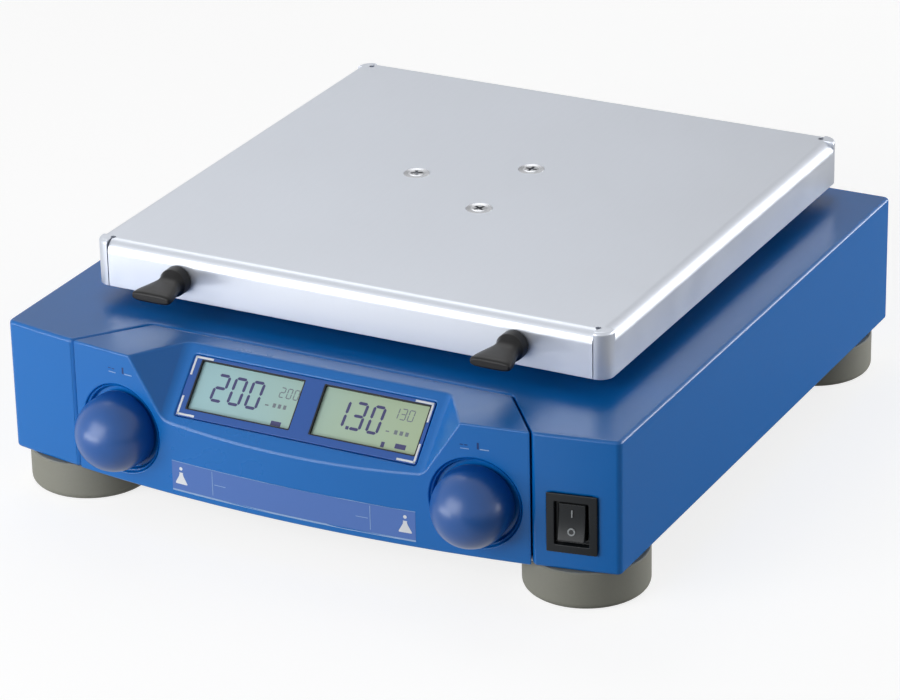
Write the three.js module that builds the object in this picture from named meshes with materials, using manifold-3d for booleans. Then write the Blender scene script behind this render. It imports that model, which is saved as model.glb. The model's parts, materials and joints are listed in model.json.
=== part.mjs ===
// A bench-top orbital shaker for laboratory flasks.
// Units are millimetres and +Z is up. The feet stand on z = 0, -Y is the front, and the origin lies under
// the middle of the whole object. The tray moves in a small circle: a belt turns a central crank, and three
// idler cranks keep the tray from turning with it.

import * as THREE from 'three';
import { mergeVertices } from 'three/addons/utils/BufferGeometryUtils.js';
import { ConvexGeometry } from 'three/addons/geometries/ConvexGeometry.js';
import Module from 'manifold-3d';

const wasm = await Module();
wasm.setup();

// Counts of flat sides on round shapes, from the largest to the smallest.
const wideSides = 28;
const roundSides = 18;
const smallSides = 10;
const nutSides = 6;
const bowSteps = 5;
const edgeSteps = 2;
const bendSteps = 3;

// Clearances shared by all pieces.
const overrun = 2;
const seatGap = 0.2;
const turnGap = 0.3;
const runGap = 0.25;

// Housing.
const bodyWidth = 270;
const bodyDepth = 268;
const bodyHeight = 55.8;
const frontBow = 14;
const bodyCorner = 2.5;
const innerCorner = 0.8;
const bodyEdgeRound = 1.5;
const coverWall = 3;
const bossRadius = 4.5;
const bossScrewDepth = 12;

// Base plate.
const plateThickness = 2.5;
const plateFit = 0.4;

// Feet and their screws.
const footRadius = 24.9;
const footHeight = 16.2;
const footRound = 3;
const footInsetX = 23.7;
const footInsetY = 22.4;
const footSetForward = 3.1;
const footScrewRadius = 2;
const footHeadRadius = 3.9;
const footHeadHeight = 3;
const footHeadSink = 6;
const footSlotWidth = 1;

// Front panel.
const endBayWidth = 34.4;
const panelTaper = 20.6;
const panelRearSetback = 34;
const panelWall = 2.6;
const panelGap = 0.7;

// Slanted display recess in the panel.
const recessBrowInset = 5.4;
const recessRearInset = 20.4;
const recessFootInset = 21.1;
const recessRearSetback = 26;
const recessDrop = 24.3;

// Display window and the two displays behind it.
const windowSideMargin = 4.1;
const windowHeight = 25.7;
const windowThickness = 1.2;
const windowRise = 4.7;
const displayMiddleMargin = 4.9;
const displayEndMargin = 3.1;
const displayHeight = 20;
const displayThickness = 3.4;
const displayLip = 1;
const displayBoardMargin = 4.8;
const displayBoardHeight = 27;
const displayChipWidth = 9;
const boardThickness = 1.6;

// Knobs, their dished seats in the panel, and the encoders behind them.
const knobInset = 22.2;
const knobRise = 23;
const knobRadius = 16;
const knobDomeOut = 4.2;
const knobSkirtSink = 1.8;
const knobBushWell = 5.2;
const knobSeatRadius = 18.6;
const knobSeatStep = 1.1;
const knobSeatStepWidth = 1.2;
const knobSeatDepth = 3.1;
const knobPushTravel = 0.6;
const encoderWidth = 13;
const encoderDepth = 7.5;
const encoderShell = 1.4;
const bushRadius = 3.5;
const bushBore = 2.4;
const knobShaftRadius = 2;
const knobShaftIn = 8;
const plungerRadius = 4;
const plungerThickness = 1.8;

// Mains switch in the right end of the cover's front.
const switchShift = 1.3;
const switchRise = 20;
const switchWidth = 20;
const switchHeight = 24.6;
const switchFlange = 0.9;
const switchWellWidth = 13.6;
const switchWellDepth = 1.6;
const switchBodyDepth = 14;
const switchBodyInset = 0.8;
const switchShelf = 3.4;
const rockerWidth = 10.4;
const rockerHeight = 14.6;
const rockerPivotIn = 2.6;
const rockerProud = 1.4;
const rockerValley = 0.5;
const rockerHeel = 2.6;
const rockerThrow = 10;

// Tray and what carries it.
const trayMargin = 22;
const trayFlange = 19.4;
const traySheet = 2;
const trayBend = 5.2;
const trayCorner = 6.5;
const trayRideGap = 6.6;
const trayForward = 3.6;
const hubFromRear = 117.2;
const eccentricity = 2;
const columnRadius = 33;
const columnBore = 20;
const columnHoleGap = 3;
const trayScrewCircle = 27.5;
const trayScrewRadius = 2.6;
const trayScrewHead = 5.6;
const trayScrewHeadDepth = 3;
const trayScrewLength = 14;
const crossWidth = 1.3;
const crossSpan = 5.4;
const crossDepth = 1.5;

// Thumb screws through the tray's front flange.
const thumbInset = 38.2;
const thumbDrop = 10.6;
const thumbScrewRadius = 2.4;
const thumbCollarRadius = 5.9;
const thumbCollarLength = 9;
const thumbBladeWidth = 14.8;
const thumbBladeThickness = 4.6;
const thumbBladeLength = 12;
const thumbTaper = 6;
const thumbNutAcross = 9;
const thumbNutLength = 4.5;
const thumbTipReach = 13;
const thumbPadRadius = 4;
const thumbPadLength = 2.2;

// Swing plate and hub under the tray.
const swingThickness = 4;
const swingTopDrop = 6.4;
const swingHubRadius = 18;
const hubRimRise = 2;
const swingLobeRadius = 13;
const swingWebHalf = 11;
const hubBearingOuter = 14;
const hubBearingInner = 6;
const hubBearingHeight = 8;
const idlerCircle = 82;
const idlerPinRadius = 4;
const idlerBossDepth = 3;
const idlerDiscRadius = 10;
const idlerDiscHeight = 3.6;
const idlerPostRadius = 9;
const idlerPostFoot = 14;
const idlerPostFootHeight = 3;
const idlerShaftDepth = 22;

// Crank, its bearing block and pulley.
const crankShaftRadius = 4;
const crankBearingOuter = 11;
const crankBearingHeight = 7;
const crankBearingSpacing = 11;
const blockRadius = 15;
const blockFootRadius = 30;
const blockFootHeight = 3.5;
const blockHeight = 20;
const pulleyRadius = 39;
const pulleyRim = 2;
const pulleyHeight = 8;
const pulleyLip = 1.2;
const pulleyHub = 9;
const pulleyWeb = 3.4;
const pulleyRimWall = 4;
const pinRadius = 6;
const weightInner = 14;
const weightOuter = 37;
const weightHeight = 5;

// Belt and motor.
const beltThickness = 1.4;
const beltSideGap = 0.4;
const motorDistance = 85;
const motorBearingDegrees = 150;
const motorRadius = 30;
const motorHeight = 20;
const motorWall = 2;
const motorPulleyRadius = 13;
const statorInner = 15;
const statorHeight = 14;
const rotorRadius = 14.4;
const rotorHeight = 15;
const rotorShaftRadius = 3;

// Power supply and control board on the base plate.
const supplySideGap = 30.5;
const supplyPostGap = 13.5;
const supplyRearGap = 22.5;
const supplyDepth = 56;
const supplyHeight = 30;
const supplyLid = 1.5;
const controlWidth = 118;
const controlDepth = 38;
const controlShift = 11.1;
const controlStandoff = 5;
const standoffRadius = 3;
const canRadius = 4.8;
const canHeight = 12;
const canPlaceShares = [-0.12, -0.25];

// Mains inlet with fuse drawer, and serial socket, in the rear wall.
const inletInset = 55;
const inletRise = 27;
const inletWidth = 31;
const inletHeight = 38;
const inletFlange = 1.6;
const inletBodyWidth = 27.4;
const inletBodyHeight = 33;
const inletBodyDepth = 17;
const socketWidth = 24;
const socketHeight = 16.4;
const socketDepth = 15;
const socketRise = 6.4;
const pinWidth = 2;
const pinHeight = 4;
const pinLength = 9.5;
const pinPitch = 14;
const earthPinRise = 4;
const fuseWidth = 21;
const fuseHeight = 8;
const fuseDepth = 10;
const fuseDrop = 10.4;
const fuseProud = 0.6;
const serialInset = 57;
const serialWidth = 30.8;
const serialHeight = 12.5;
const serialFlange = 1;
const serialShellWidth = 17;
const serialShellHeight = 8.4;
const serialShellOut = 4.6;
const serialBodyDepth = 9;

// Levels and places that follow from the sizes above.
const plateBottom = footHeight;
const plateTop = plateBottom + plateThickness;
const floorLevel = plateTop + seatGap;
const bodyTop = footHeight + bodyHeight;
const ceiling = bodyTop - coverWall;
const trayBottom = bodyTop + trayRideGap;
const trayTop = trayBottom + trayFlange;
const trayUnderside = trayTop - traySheet;
const columnTop = trayUnderside - seatGap;
const swingTop = ceiling - swingTopDrop;
const swingBottom = swingTop - swingThickness;

const bowRadius = (bodyWidth * bodyWidth / 4 + frontBow * frontBow) / (2 * frontBow);
const frontApex = -bodyDepth / 2 - frontBow;

/** Returns the depth of the bowed front face at a distance x from the middle, in the body's own frame. */
function frontAt(x) {
  return frontApex + bowRadius - Math.sqrt(bowRadius * bowRadius - x * x);
}

// Widths that follow from the housing's.
const panelFrontHalf = bodyWidth / 2 - endBayWidth;
const panelRearHalf = panelFrontHalf - panelTaper;
const knobX = panelFrontHalf - knobInset;
const recessFrontHalf = knobX - recessBrowInset;
const recessRearHalf = knobX - recessRearInset;
const recessFootHalf = knobX - recessFootInset;
const windowWidth = (recessFootHalf - windowSideMargin) * 2;
const displayWidth = windowWidth / 2 - displayMiddleMargin - displayEndMargin;
const displayPitch = displayWidth + displayMiddleMargin * 2;
const displayBoardWidth = windowWidth + displayBoardMargin * 2;
const switchX = (bodyWidth - endBayWidth) / 2 - switchShift;
const footPitchX = bodyWidth - footInsetX * 2;
const footPitchY = bodyDepth - footInsetY * 2;
const traySize = bodyWidth - trayMargin * 2;
const thumbX = traySize / 2 - thumbInset;
const inletX = bodyWidth / 2 - inletInset;
const serialX = serialInset - bodyWidth / 2;

const knobTilt = Math.asin(knobX / bowRadius);
const frontReach = knobRadius + knobDomeOut * Math.cos(knobTilt) - frontAt(knobX);
const rearReach = bodyDepth / 2 + serialFlange + serialShellOut;
const bodyY = (frontReach - rearReach) / 2;

const crankX = 0;
const crankY = bodyDepth / 2 - hubFromRear;
const hubX = crankX - eccentricity;
const hubY = crankY;
const trayX = 0;
const trayY = hubY - trayForward;

// The power supply keeps clear of the rear idler's post, the side wall and the mains inlet.
const supplyLeft = crankX + idlerPostFoot + supplyPostGap;
const supplyRight = bodyWidth / 2 - supplySideGap;
const supplyWidth = supplyRight - supplyLeft - supplyLid * 2;
const supplyX = (supplyLeft + supplyRight) / 2;
const supplyY = bodyDepth / 2 - supplyRearGap - supplyLid - supplyDepth / 2;

// The control board lies between the front panel and the two front idler posts.
const frontPostsY = crankY - idlerCircle / 2 - idlerPostFoot;
const controlY = (frontApex + frontPostsY) / 2 + controlShift;

const part = new THREE.Group();
const body = new THREE.Group();
body.position.set(0, bodyY, 0);
part.add(body);

// Finishes.

/** Returns a material with a colour, a roughness and a metalness. */
function finish(color, roughness, metalness) {
  return new THREE.MeshStandardMaterial({ color, roughness, metalness });
}

const bluePaint = finish(0x2463b0, 0.42, 0.0);
const bluePlastic = finish(0x2b6ab4, 0.4, 0.0);
const knobPlastic = finish(0x274f9e, 0.35, 0.0);
const satinSteel = finish(0xc9ced8, 0.38, 0.9);
const brightSteel = finish(0xb9bcc2, 0.28, 0.95);
const greyRubber = finish(0x8b887a, 0.8, 0.0);
const blackPlastic = finish(0x2b2b2e, 0.5, 0.0);
const darkRubber = finish(0x1c1c1e, 0.75, 0.0);
const windowTint = finish(0x5a6fb4, 0.2, 0.0);
const displayGlass = finish(0xb7c9a5, 0.25, 0.0);
const boardGreen = finish(0x1f6b3c, 0.55, 0.0);
const castAlloy = finish(0xa9adb2, 0.5, 0.85);
const copperWire = finish(0xb0673a, 0.45, 0.6);
const tinPlate = finish(0x9fa3a8, 0.4, 0.8);
const whitePlastic = finish(0xe4e2da, 0.5, 0.0);

// Shapes.

/** Turns a closed geometry into a solid that can be cut and joined. */
function solid(geometry) {
  const plain = geometry.clone();
  plain.deleteAttribute('normal');
  plain.deleteAttribute('uv');
  const merged = mergeVertices(plain);
  return new wasm.Manifold(new wasm.Mesh({
    numProp: 3,
    vertProperties: new Float32Array(merged.attributes.position.array),
    triVerts: new Uint32Array(merged.index.array),
  }));
}

/** Joins several solids into one. */
function join(first, ...others) {
  return others.reduce((whole, other) => whole.add(other), first);
}

/** Cuts several solids out of the first one. */
function cut(first, ...others) {
  return others.reduce((whole, other) => whole.subtract(other), first);
}

/** Turns a solid back into a geometry with flat shading. */
function geometryOf(shape) {
  const mesh = shape.getMesh();
  const count = mesh.vertProperties.length / mesh.numProp;
  const positions = new Float32Array(count * 3);
  for (let index = 0; index < count; index += 1) {
    for (let axis = 0; axis < 3; axis += 1) {
      positions[index * 3 + axis] = mesh.vertProperties[index * mesh.numProp + axis];
    }
  }
  const geometry = new THREE.BufferGeometry();
  geometry.setAttribute('position', new THREE.BufferAttribute(positions, 3));
  geometry.setIndex(new THREE.BufferAttribute(new Uint32Array(mesh.triVerts), 1));
  geometry.computeVertexNormals();
  return geometry;
}

/** Adds a named sub-part to a group. */
function addPiece(name, shape, material, parent = body) {
  const mesh = new THREE.Mesh(geometryOf(shape), material);
  mesh.name = name;
  parent.add(mesh);
  return mesh;
}

/** An upright block, placed by the middle of its plan and its lowest level. */
function block(width, depth, height, x, y, z) {
  return new THREE.BoxGeometry(width, depth, height).translate(x, y, z + height / 2);
}

/** An upright round rod, placed by its axis and its lowest level. */
function rod(radius, height, x, y, z, sides = roundSides) {
  return new THREE.CylinderGeometry(radius, radius, height, sides)
    .rotateX(Math.PI / 2)
    .translate(x, y, z + height / 2);
}

/** A round rod along Y, placed by its axis and its front end. */
function rodAlongY(radius, length, x, y, z, sides = roundSides) {
  return new THREE.CylinderGeometry(radius, radius, length, sides).translate(x, y + length / 2, z);
}

/** An upright prism over a plan. */
function prism(plan, low, high, steps = bowSteps) {
  return new THREE.ExtrudeGeometry(plan, { depth: high - low, bevelEnabled: false, curveSegments: steps })
    .translate(0, 0, low);
}

/** An upright prism over a plan whose top edge is rounded inwards. */
function roundedPrism(plan, low, high, round, steps = bowSteps, bevels = edgeSteps) {
  const settings = {
    depth: high - low,
    bevelThickness: round,
    bevelSize: round,
    bevelOffset: -round,
    bevelSegments: bevels,
    curveSegments: steps,
  };
  const tall = solid(new THREE.ExtrudeGeometry(plan, settings).translate(0, 0, low - round));
  const span = bodyWidth + bodyDepth;
  const below = round * 2 + overrun;
  return cut(tall, solid(block(span, span, below, 0, 0, low - below)));
}

/** A solid turned about a vertical axis from radius and height pairs. */
function turned(profile, sides = wideSides) {
  const points = profile.map(([radius, height]) => new THREE.Vector2(radius, height));
  return new THREE.LatheGeometry(points, sides).rotateX(Math.PI / 2);
}

/** A prism along X over a section drawn in Y and Z, centred on X. */
function prismAlongX(section, width) {
  const points = section.map(([y, z]) => new THREE.Vector2(y, z));
  const across = new THREE.Matrix4().makeBasis(
    new THREE.Vector3(0, 1, 0),
    new THREE.Vector3(0, 0, 1),
    new THREE.Vector3(1, 0, 0),
  );
  return new THREE.ExtrudeGeometry(new THREE.Shape(points), { depth: width, bevelEnabled: false })
    .translate(0, 0, -width / 2)
    .applyMatrix4(across);
}

/** The smallest convex solid around a list of corners. */
function hull(corners) {
  return new ConvexGeometry(corners.map(([x, y, z]) => new THREE.Vector3(x, y, z)));
}

/** A place on the bowed front face: its position, and its turn about the vertical. */
function faceFrame(x, z) {
  return { x, y: frontAt(x), z, turn: Math.asin(x / bowRadius) };
}

/** Moves a geometry from a face frame, where -Y points out of the face, to the body's frame. */
function onFace(geometry, frame) {
  return geometry.rotateZ(frame.turn).translate(frame.x, frame.y, frame.z);
}

/** Makes a group whose own frame is a face frame. */
function faceGroup(frame) {
  const group = new THREE.Group();
  group.position.set(frame.x, frame.y, frame.z);
  group.rotation.z = frame.turn;
  body.add(group);
  return group;
}

// Plans of the housing.

/** The housing's plan: straight sides and rear, a bowed front, and slightly rounded corners. */
function bodyPlan(inset) {
  const half = bodyWidth / 2 - inset;
  const rear = bodyDepth / 2 - inset;
  const radius = bowRadius - inset;
  const centre = frontApex + bowRadius;
  const corner = Math.max(bodyCorner - inset, innerCorner);
  const edge = Math.asin(half / radius);
  const cornerStep = corner / radius;
  const edgeY = centre - radius * Math.cos(edge);
  const plan = new THREE.Shape();
  plan.moveTo(-half, edgeY + corner);
  plan.quadraticCurveTo(-half, edgeY, -radius * Math.sin(edge - cornerStep),
    centre - radius * Math.cos(edge - cornerStep));
  plan.absarc(0, centre, radius, cornerStep - edge - Math.PI / 2, edge - cornerStep - Math.PI / 2, false);
  plan.quadraticCurveTo(half, edgeY, half, edgeY + corner);
  plan.lineTo(half, rear - corner);
  plan.quadraticCurveTo(half, rear, half - corner, rear);
  plan.lineTo(corner - half, rear);
  plan.quadraticCurveTo(-half, rear, -half, rear - corner);
  plan.closePath();
  return plan;
}

/** The panel's plan, a trapezoid that runs out past the front; grow widens it and back moves its rear. */
function panelPlan(grow, back) {
  const frontPoint = new THREE.Vector2(panelFrontHalf, frontAt(panelFrontHalf));
  const rearPoint = new THREE.Vector2(panelRearHalf, frontApex + panelRearSetback);
  const along = frontPoint.clone().sub(rearPoint).normalize();
  const outward = new THREE.Vector2(-along.y, along.x);
  const rearStep = (back - outward.y * grow) / along.y;
  const frontStep = frontPoint.distanceTo(rearPoint) + frontBow + overrun;
  const rear = rearPoint.clone().addScaledVector(outward, grow).addScaledVector(along, rearStep);
  const front = rearPoint.clone().addScaledVector(outward, grow).addScaledVector(along, frontStep);
  return new THREE.Shape([
    new THREE.Vector2(-front.x, front.y),
    new THREE.Vector2(front.x, front.y),
    new THREE.Vector2(rear.x, rear.y),
    new THREE.Vector2(-rear.x, rear.y),
  ]);
}

// The slanted display recess. Its floor runs from its rear edge on the top down to the front face.
const recessRear = frontApex + recessRearSetback;
const recessFoot = frontAt(recessFootHalf);
const slantTurn = Math.atan2(recessDrop, recessRear - recessFoot);

/** Returns the point where three planes meet. */
function meet(first, second, third) {
  const rows = new THREE.Matrix3().set(
    first.normal.x, first.normal.y, first.normal.z,
    second.normal.x, second.normal.y, second.normal.z,
    third.normal.x, third.normal.y, third.normal.z,
  );
  return new THREE.Vector3(-first.constant, -second.constant, -third.constant).applyMatrix3(rows.invert());
}

/** The recess as a solid to cut away; grow moves its floor and cheeks out, which leaves a wall there. */
function recessSolid(grow) {
  const rear = new THREE.Vector3(recessRearHalf, recessRear, bodyTop);
  const brow = new THREE.Vector3(recessFrontHalf, frontAt(recessFrontHalf), bodyTop);
  const foot = new THREE.Vector3(recessFootHalf, recessFoot, bodyTop - recessDrop);
  const cheek = new THREE.Plane().setFromCoplanarPoints(rear, brow, foot);
  if (cheek.normal.x < 0) {
    cheek.negate();
  }
  const floor = new THREE.Plane().setFromNormalAndCoplanarPoint(
    new THREE.Vector3(0, Math.sin(slantTurn), -Math.cos(slantTurn)),
    rear,
  );
  const lid = new THREE.Plane(new THREE.Vector3(0, 0, 1), -bodyTop - overrun);
  const front = new THREE.Plane(new THREE.Vector3(0, -1, 0), frontApex - overrun);
  cheek.constant -= grow;
  floor.constant -= grow;
  const right = [meet(cheek, floor, lid), meet(cheek, floor, front), meet(cheek, lid, front)];
  const corners = right.flatMap((point) => [[point.x, point.y, point.z], [-point.x, point.y, point.z]]);
  return solid(hull(corners));
}

const slantMiddle = windowRise + windowHeight / 2;
const slantY = recessFoot + slantMiddle * Math.cos(slantTurn);
const slantZ = bodyTop - recessDrop + slantMiddle * Math.sin(slantTurn);

/** Moves a geometry from the slanted floor's frame, where +Z points out of it, to the body's frame. */
function onSlant(geometry) {
  return geometry.rotateX(slantTurn).translate(0, slantY, slantZ);
}

const slant = new THREE.Group();
slant.position.set(0, slantY, slantZ);
slant.rotation.x = slantTurn;
body.add(slant);

// Places of the four feet, as shares of their pitch.
const footPlaceShares = [
  ['front_left', -0.5, -0.5],
  ['front_right', 0.5, -0.5],
  ['rear_left', -0.5, 0.5],
  ['rear_right', 0.5, 0.5],
];
const footPlaces = footPlaceShares.map(([name, shareX, shareY]) => ({
  name,
  x: footPitchX * shareX,
  y: footPitchY * shareY - footSetForward,
}));

// Places of the idler cranks around the main crank, and of the motor.
const idlerDegrees = [90, 210, 330];
const idlerNames = ['rear', 'left', 'right'];
const idlerPlaces = idlerDegrees.map((degrees, index) => ({
  name: idlerNames[index],
  x: crankX + idlerCircle * Math.cos(THREE.MathUtils.degToRad(degrees)),
  y: crankY + idlerCircle * Math.sin(THREE.MathUtils.degToRad(degrees)),
}));
const motorTurn = THREE.MathUtils.degToRad(motorBearingDegrees);
const motorX = crankX + motorDistance * Math.cos(motorTurn);
const motorY = crankY + motorDistance * Math.sin(motorTurn);

// Frames on the bowed front.
const knobZ = footHeight + knobRise;
const knobFrames = { left: faceFrame(-knobX, knobZ), right: faceFrame(knobX, knobZ) };
const switchFrame = faceFrame(switchX, footHeight + switchRise);

// Sizes in the face frames, where a depth counts inwards along +Y.
const seatFloor = knobSeatDepth;
const seatBack = knobSeatDepth + panelWall;
const switchCutWidth = switchWidth - switchBodyInset * 2;
const switchCutHeight = switchHeight - switchBodyInset * 2;

// Sizes in the rear wall.
const rearFace = bodyDepth / 2;
const inletZ = footHeight + inletRise;

// Standoffs of the control board, as shares of its size.
const standoffShares = [[-0.44, -0.38], [0.44, -0.38], [-0.44, 0.38], [0.44, 0.38]];
const standoffPlaces = standoffShares.map(([shareX, shareY]) => [
  controlWidth * shareX,
  controlY + controlDepth * shareY,
]);

// Housing cover.

/** The cover: a shell open below and at the front, where the panel sits. */
function makeCover() {
  const outside = roundedPrism(bodyPlan(0), plateBottom, bodyTop, bodyEdgeRound);
  const inside = solid(prism(bodyPlan(coverWall), plateBottom - overrun, ceiling));
  const bosses = footPlaces.map(({ x, y }) => (
    solid(rod(bossRadius, ceiling + coverWall / 2 - floorLevel, x, y, floorLevel, smallSides))
  ));
  const bores = footPlaces.map(({ x, y }) => solid(
    rod(footScrewRadius + runGap, bossScrewDepth + overrun, x, y, floorLevel - overrun, smallSides),
  ));
  const panelSpace = solid(prism(panelPlan(panelGap, panelGap), plateBottom - overrun, bodyTop + overrun));
  const columnHole = solid(rod(
    columnRadius + eccentricity + columnHoleGap,
    coverWall + overrun * 2,
    crankX,
    crankY,
    ceiling - overrun,
    wideSides,
  ));
  const switchHole = solid(onFace(
    block(
      switchCutWidth,
      (coverWall + overrun) * 2,
      switchCutHeight,
      0,
      0,
      -switchCutHeight / 2,
    ),
    switchFrame,
  ));
  const inletHole = solid(block(
    inletBodyWidth + seatGap * 2,
    (coverWall + overrun) * 2,
    inletBodyHeight + seatGap * 2,
    inletX,
    rearFace,
    inletZ - inletBodyHeight / 2 - seatGap,
  ));
  const serialHole = solid(block(
    serialShellWidth + seatGap * 2,
    (coverWall + overrun) * 2,
    serialShellHeight + seatGap * 2,
    serialX,
    rearFace,
    inletZ - serialShellHeight / 2 - seatGap,
  ));
  const shell = join(cut(outside, inside), ...bosses);
  return cut(shell, ...bores, panelSpace, columnHole, switchHole, inletHole, serialHole);
}

// Front panel.

/** A knob's round seat: a shallow rim step and a deeper dish; grow leaves the wall behind them. */
function knobSeat(frame, grow) {
  const front = frontBow;
  const rim = rodAlongY(knobSeatRadius + grow, front + knobSeatStep + grow, 0, -front, 0, wideSides);
  const dish = rodAlongY(
    knobSeatRadius - knobSeatStepWidth + grow,
    front + seatFloor + grow,
    0,
    -front,
    0,
    wideSides,
  );
  return join(solid(onFace(rim, frame)), solid(onFace(dish, frame)));
}

/** The panel: a thin shell with the slanted recess, the window's seat and the two knob seats. */
function makePanel() {
  const top = roundedPrism(bodyPlan(0), plateBottom, bodyTop, bodyEdgeRound);
  const outside = top.intersect(solid(prism(panelPlan(0, 0), plateBottom - overrun, bodyTop + overrun)));
  const reach = panelRearSetback;
  const hollowPlan = solid(prism(panelPlan(-panelWall, reach), plateBottom - overrun, bodyTop - panelWall));
  const hollowBody = solid(prism(bodyPlan(panelWall), plateBottom - overrun, bodyTop));
  const walls = join(
    recessSolid(panelWall),
    knobSeat(knobFrames.left, panelWall),
    knobSeat(knobFrames.right, panelWall),
  );
  const hollow = hollowPlan.intersect(hollowBody).subtract(walls);
  const plateSpace = solid(prism(bodyPlan(panelWall), plateBottom - overrun, floorLevel));
  const windowSeat = solid(onSlant(block(
    windowWidth + seatGap * 2,
    windowHeight + seatGap * 2,
    windowThickness + overrun,
    0,
    0,
    -windowThickness - seatGap,
  )));
  const displayHoles = [-1, 1].map((side) => solid(onSlant(block(
    displayWidth + seatGap * 2,
    displayHeight + seatGap * 2,
    panelWall + overrun * 2,
    side * displayPitch / 2,
    0,
    -panelWall - overrun,
  ))));
  const bushHoles = [knobFrames.left, knobFrames.right].map((frame) => solid(onFace(
    rodAlongY(bushRadius + runGap, panelWall + overrun * 2, 0, seatFloor - overrun, 0, smallSides),
    frame,
  )));
  const seats = [knobSeat(knobFrames.left, 0), knobSeat(knobFrames.right, 0)];
  const shell = cut(outside, recessSolid(0), ...seats, hollow, plateSpace);
  return cut(shell, windowSeat, ...displayHoles, ...bushHoles);
}

// Base plate, feet and foot screws.

/** The base plate inside the cover's walls, with a hole over each foot and standoffs for the board. */
function makeBasePlate() {
  const sheet = solid(prism(bodyPlan(coverWall + plateFit), plateBottom, plateTop));
  const holes = footPlaces.map(({ x, y }) => solid(
    rod(footScrewRadius + runGap, plateThickness + overrun * 2, x, y, plateBottom - overrun, smallSides),
  ));
  const rooted = plateThickness / 2;
  const standoffs = standoffPlaces.map(([x, y]) => solid(
    rod(standoffRadius, controlStandoff + rooted, x, y, plateTop - rooted, smallSides),
  ));
  return join(cut(sheet, ...holes), ...standoffs);
}

/** A round rubber foot with a sunk seat for its screw's head. */
function makeFoot() {
  const round = (share) => footRadius - footRound * (1 - Math.sin(share * Math.PI / 2));
  const rise = (share) => footRound * (1 - Math.cos(share * Math.PI / 2));
  const roundShares = [0, 0.5, 1];
  const top = footHeight - seatGap;
  const rimPoints = roundShares.map((share) => [round(share), rise(share)]);
  const foot = solid(turned([[0, 0], ...rimPoints, [footRadius, top], [0, top]]));
  const sink = footHeadSink + footHeadHeight + seatGap;
  const well = solid(rod(footHeadRadius + runGap, sink + overrun, 0, 0, -overrun, smallSides));
  const bore = solid(rod(footScrewRadius + runGap, footHeight + overrun, 0, 0, -overrun / 2, smallSides));
  return cut(foot, well, bore);
}

/** A foot screw: a round head below and a shank up into the cover's boss. */
function makeFootScrew() {
  const head = solid(rod(footHeadRadius, footHeadHeight, 0, 0, footHeadSink, smallSides));
  const shankTop = floorLevel + bossScrewDepth - turnGap;
  const shankLow = footHeadSink + footHeadHeight / 2;
  const shank = solid(rod(footScrewRadius, shankTop - shankLow, 0, 0, shankLow, smallSides));
  const slot = solid(block(footHeadRadius, footSlotWidth, footHeadHeight, 0, 0, footHeadSink - overrun));
  return cut(join(head, shank), slot);
}

// Window and displays on the slanted floor, drawn in the slant's own frame.

/** The window: a flat plate with an opening over each display. */
function makeWindow() {
  const plate = solid(block(windowWidth, windowHeight, windowThickness, 0, 0, -windowThickness));
  const openings = [-1, 1].map((side) => solid(block(
    displayWidth - displayLip * 2,
    displayHeight - displayLip * 2,
    windowThickness + overrun * 2,
    side * displayPitch / 2,
    0,
    -windowThickness - overrun,
  )));
  return cut(plate, ...openings);
}

const displayFront = -windowThickness - seatGap;
const displayBack = displayFront - displayThickness;

/** One liquid-crystal display. */
function makeDisplay(side) {
  const low = displayBack;
  return solid(block(displayWidth, displayHeight, displayThickness, side * displayPitch / 2, 0, low));
}

/** The circuit board that carries both displays. */
function makeDisplayBoard() {
  const low = displayBack - seatGap - boardThickness;
  const board = solid(block(displayBoardWidth, displayBoardHeight, boardThickness, 0, 0, low));
  const chipHeight = boardThickness * 2;
  const chip = solid(block(displayChipWidth, displayChipWidth, chipHeight, 0, 0, low - boardThickness));
  return join(board, chip);
}

// Knobs and encoders, drawn in a face frame where the face is at y = 0 and -Y points out.

const knobFace = knobSkirtSink;
const knobCentre = -knobDomeOut;
const encoderFront = seatBack + seatGap;
const chamberFront = encoderFront + encoderShell;
const chamberBack = encoderFront + encoderDepth - encoderShell;
const plungerFront = chamberBack - knobPushTravel - turnGap - plungerThickness;
const shaftBack = plungerFront - turnGap;

/** A knob: a ball-shaped front on a short skirt, hollowed for the bush, with a bore for the shaft. */
function makeKnob() {
  const arcShares = [0, 0.17, 0.34, 0.5, 0.67, 0.84];
  const arc = arcShares.map((share) => [
    knobRadius * Math.cos(share * Math.PI / 2),
    knobRadius * Math.sin(share * Math.PI / 2) - knobCentre,
  ]);
  const profile = [[0, -knobFace], [knobRadius, -knobFace], ...arc, [0, knobRadius - knobCentre]];
  const ball = solid(turned(profile, wideSides).rotateX(Math.PI / 2));
  const well = solid(rodAlongY(knobBushWell, knobSeatDepth + overrun, 0, knobFace - knobSeatDepth, 0));
  const boreFront = -knobShaftIn - turnGap;
  const bore = solid(rodAlongY(
    knobShaftRadius + seatGap,
    knobFace - boreFront + overrun,
    0,
    boreFront,
    0,
    smallSides,
  ));
  return cut(ball, well, bore);
}

/** The shaft that turns with a knob and presses on the plunger. */
function makeKnobShaft() {
  return solid(rodAlongY(knobShaftRadius, shaftBack + knobShaftIn, 0, -knobShaftIn, 0, smallSides));
}

/** An encoder: a box behind the panel with a bush through it and a chamber for the plunger. */
function makeEncoder() {
  const bushFront = seatFloor - knobSkirtSink;
  const box = solid(new THREE.BoxGeometry(encoderWidth, encoderDepth, encoderWidth)
    .translate(0, encoderFront + encoderDepth / 2, 0));
  const bush = solid(rodAlongY(bushRadius, encoderFront - bushFront + overrun, 0, bushFront, 0, smallSides));
  const boreLength = chamberFront - bushFront + overrun * 2;
  const bore = solid(rodAlongY(bushBore, boreLength, 0, bushFront - overrun, 0, smallSides));
  const chamberLength = chamberBack - chamberFront;
  const chamber = solid(rodAlongY(plungerRadius + runGap, chamberLength, 0, chamberFront, 0, smallSides));
  return cut(join(box, bush), bore, chamber);
}

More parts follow.
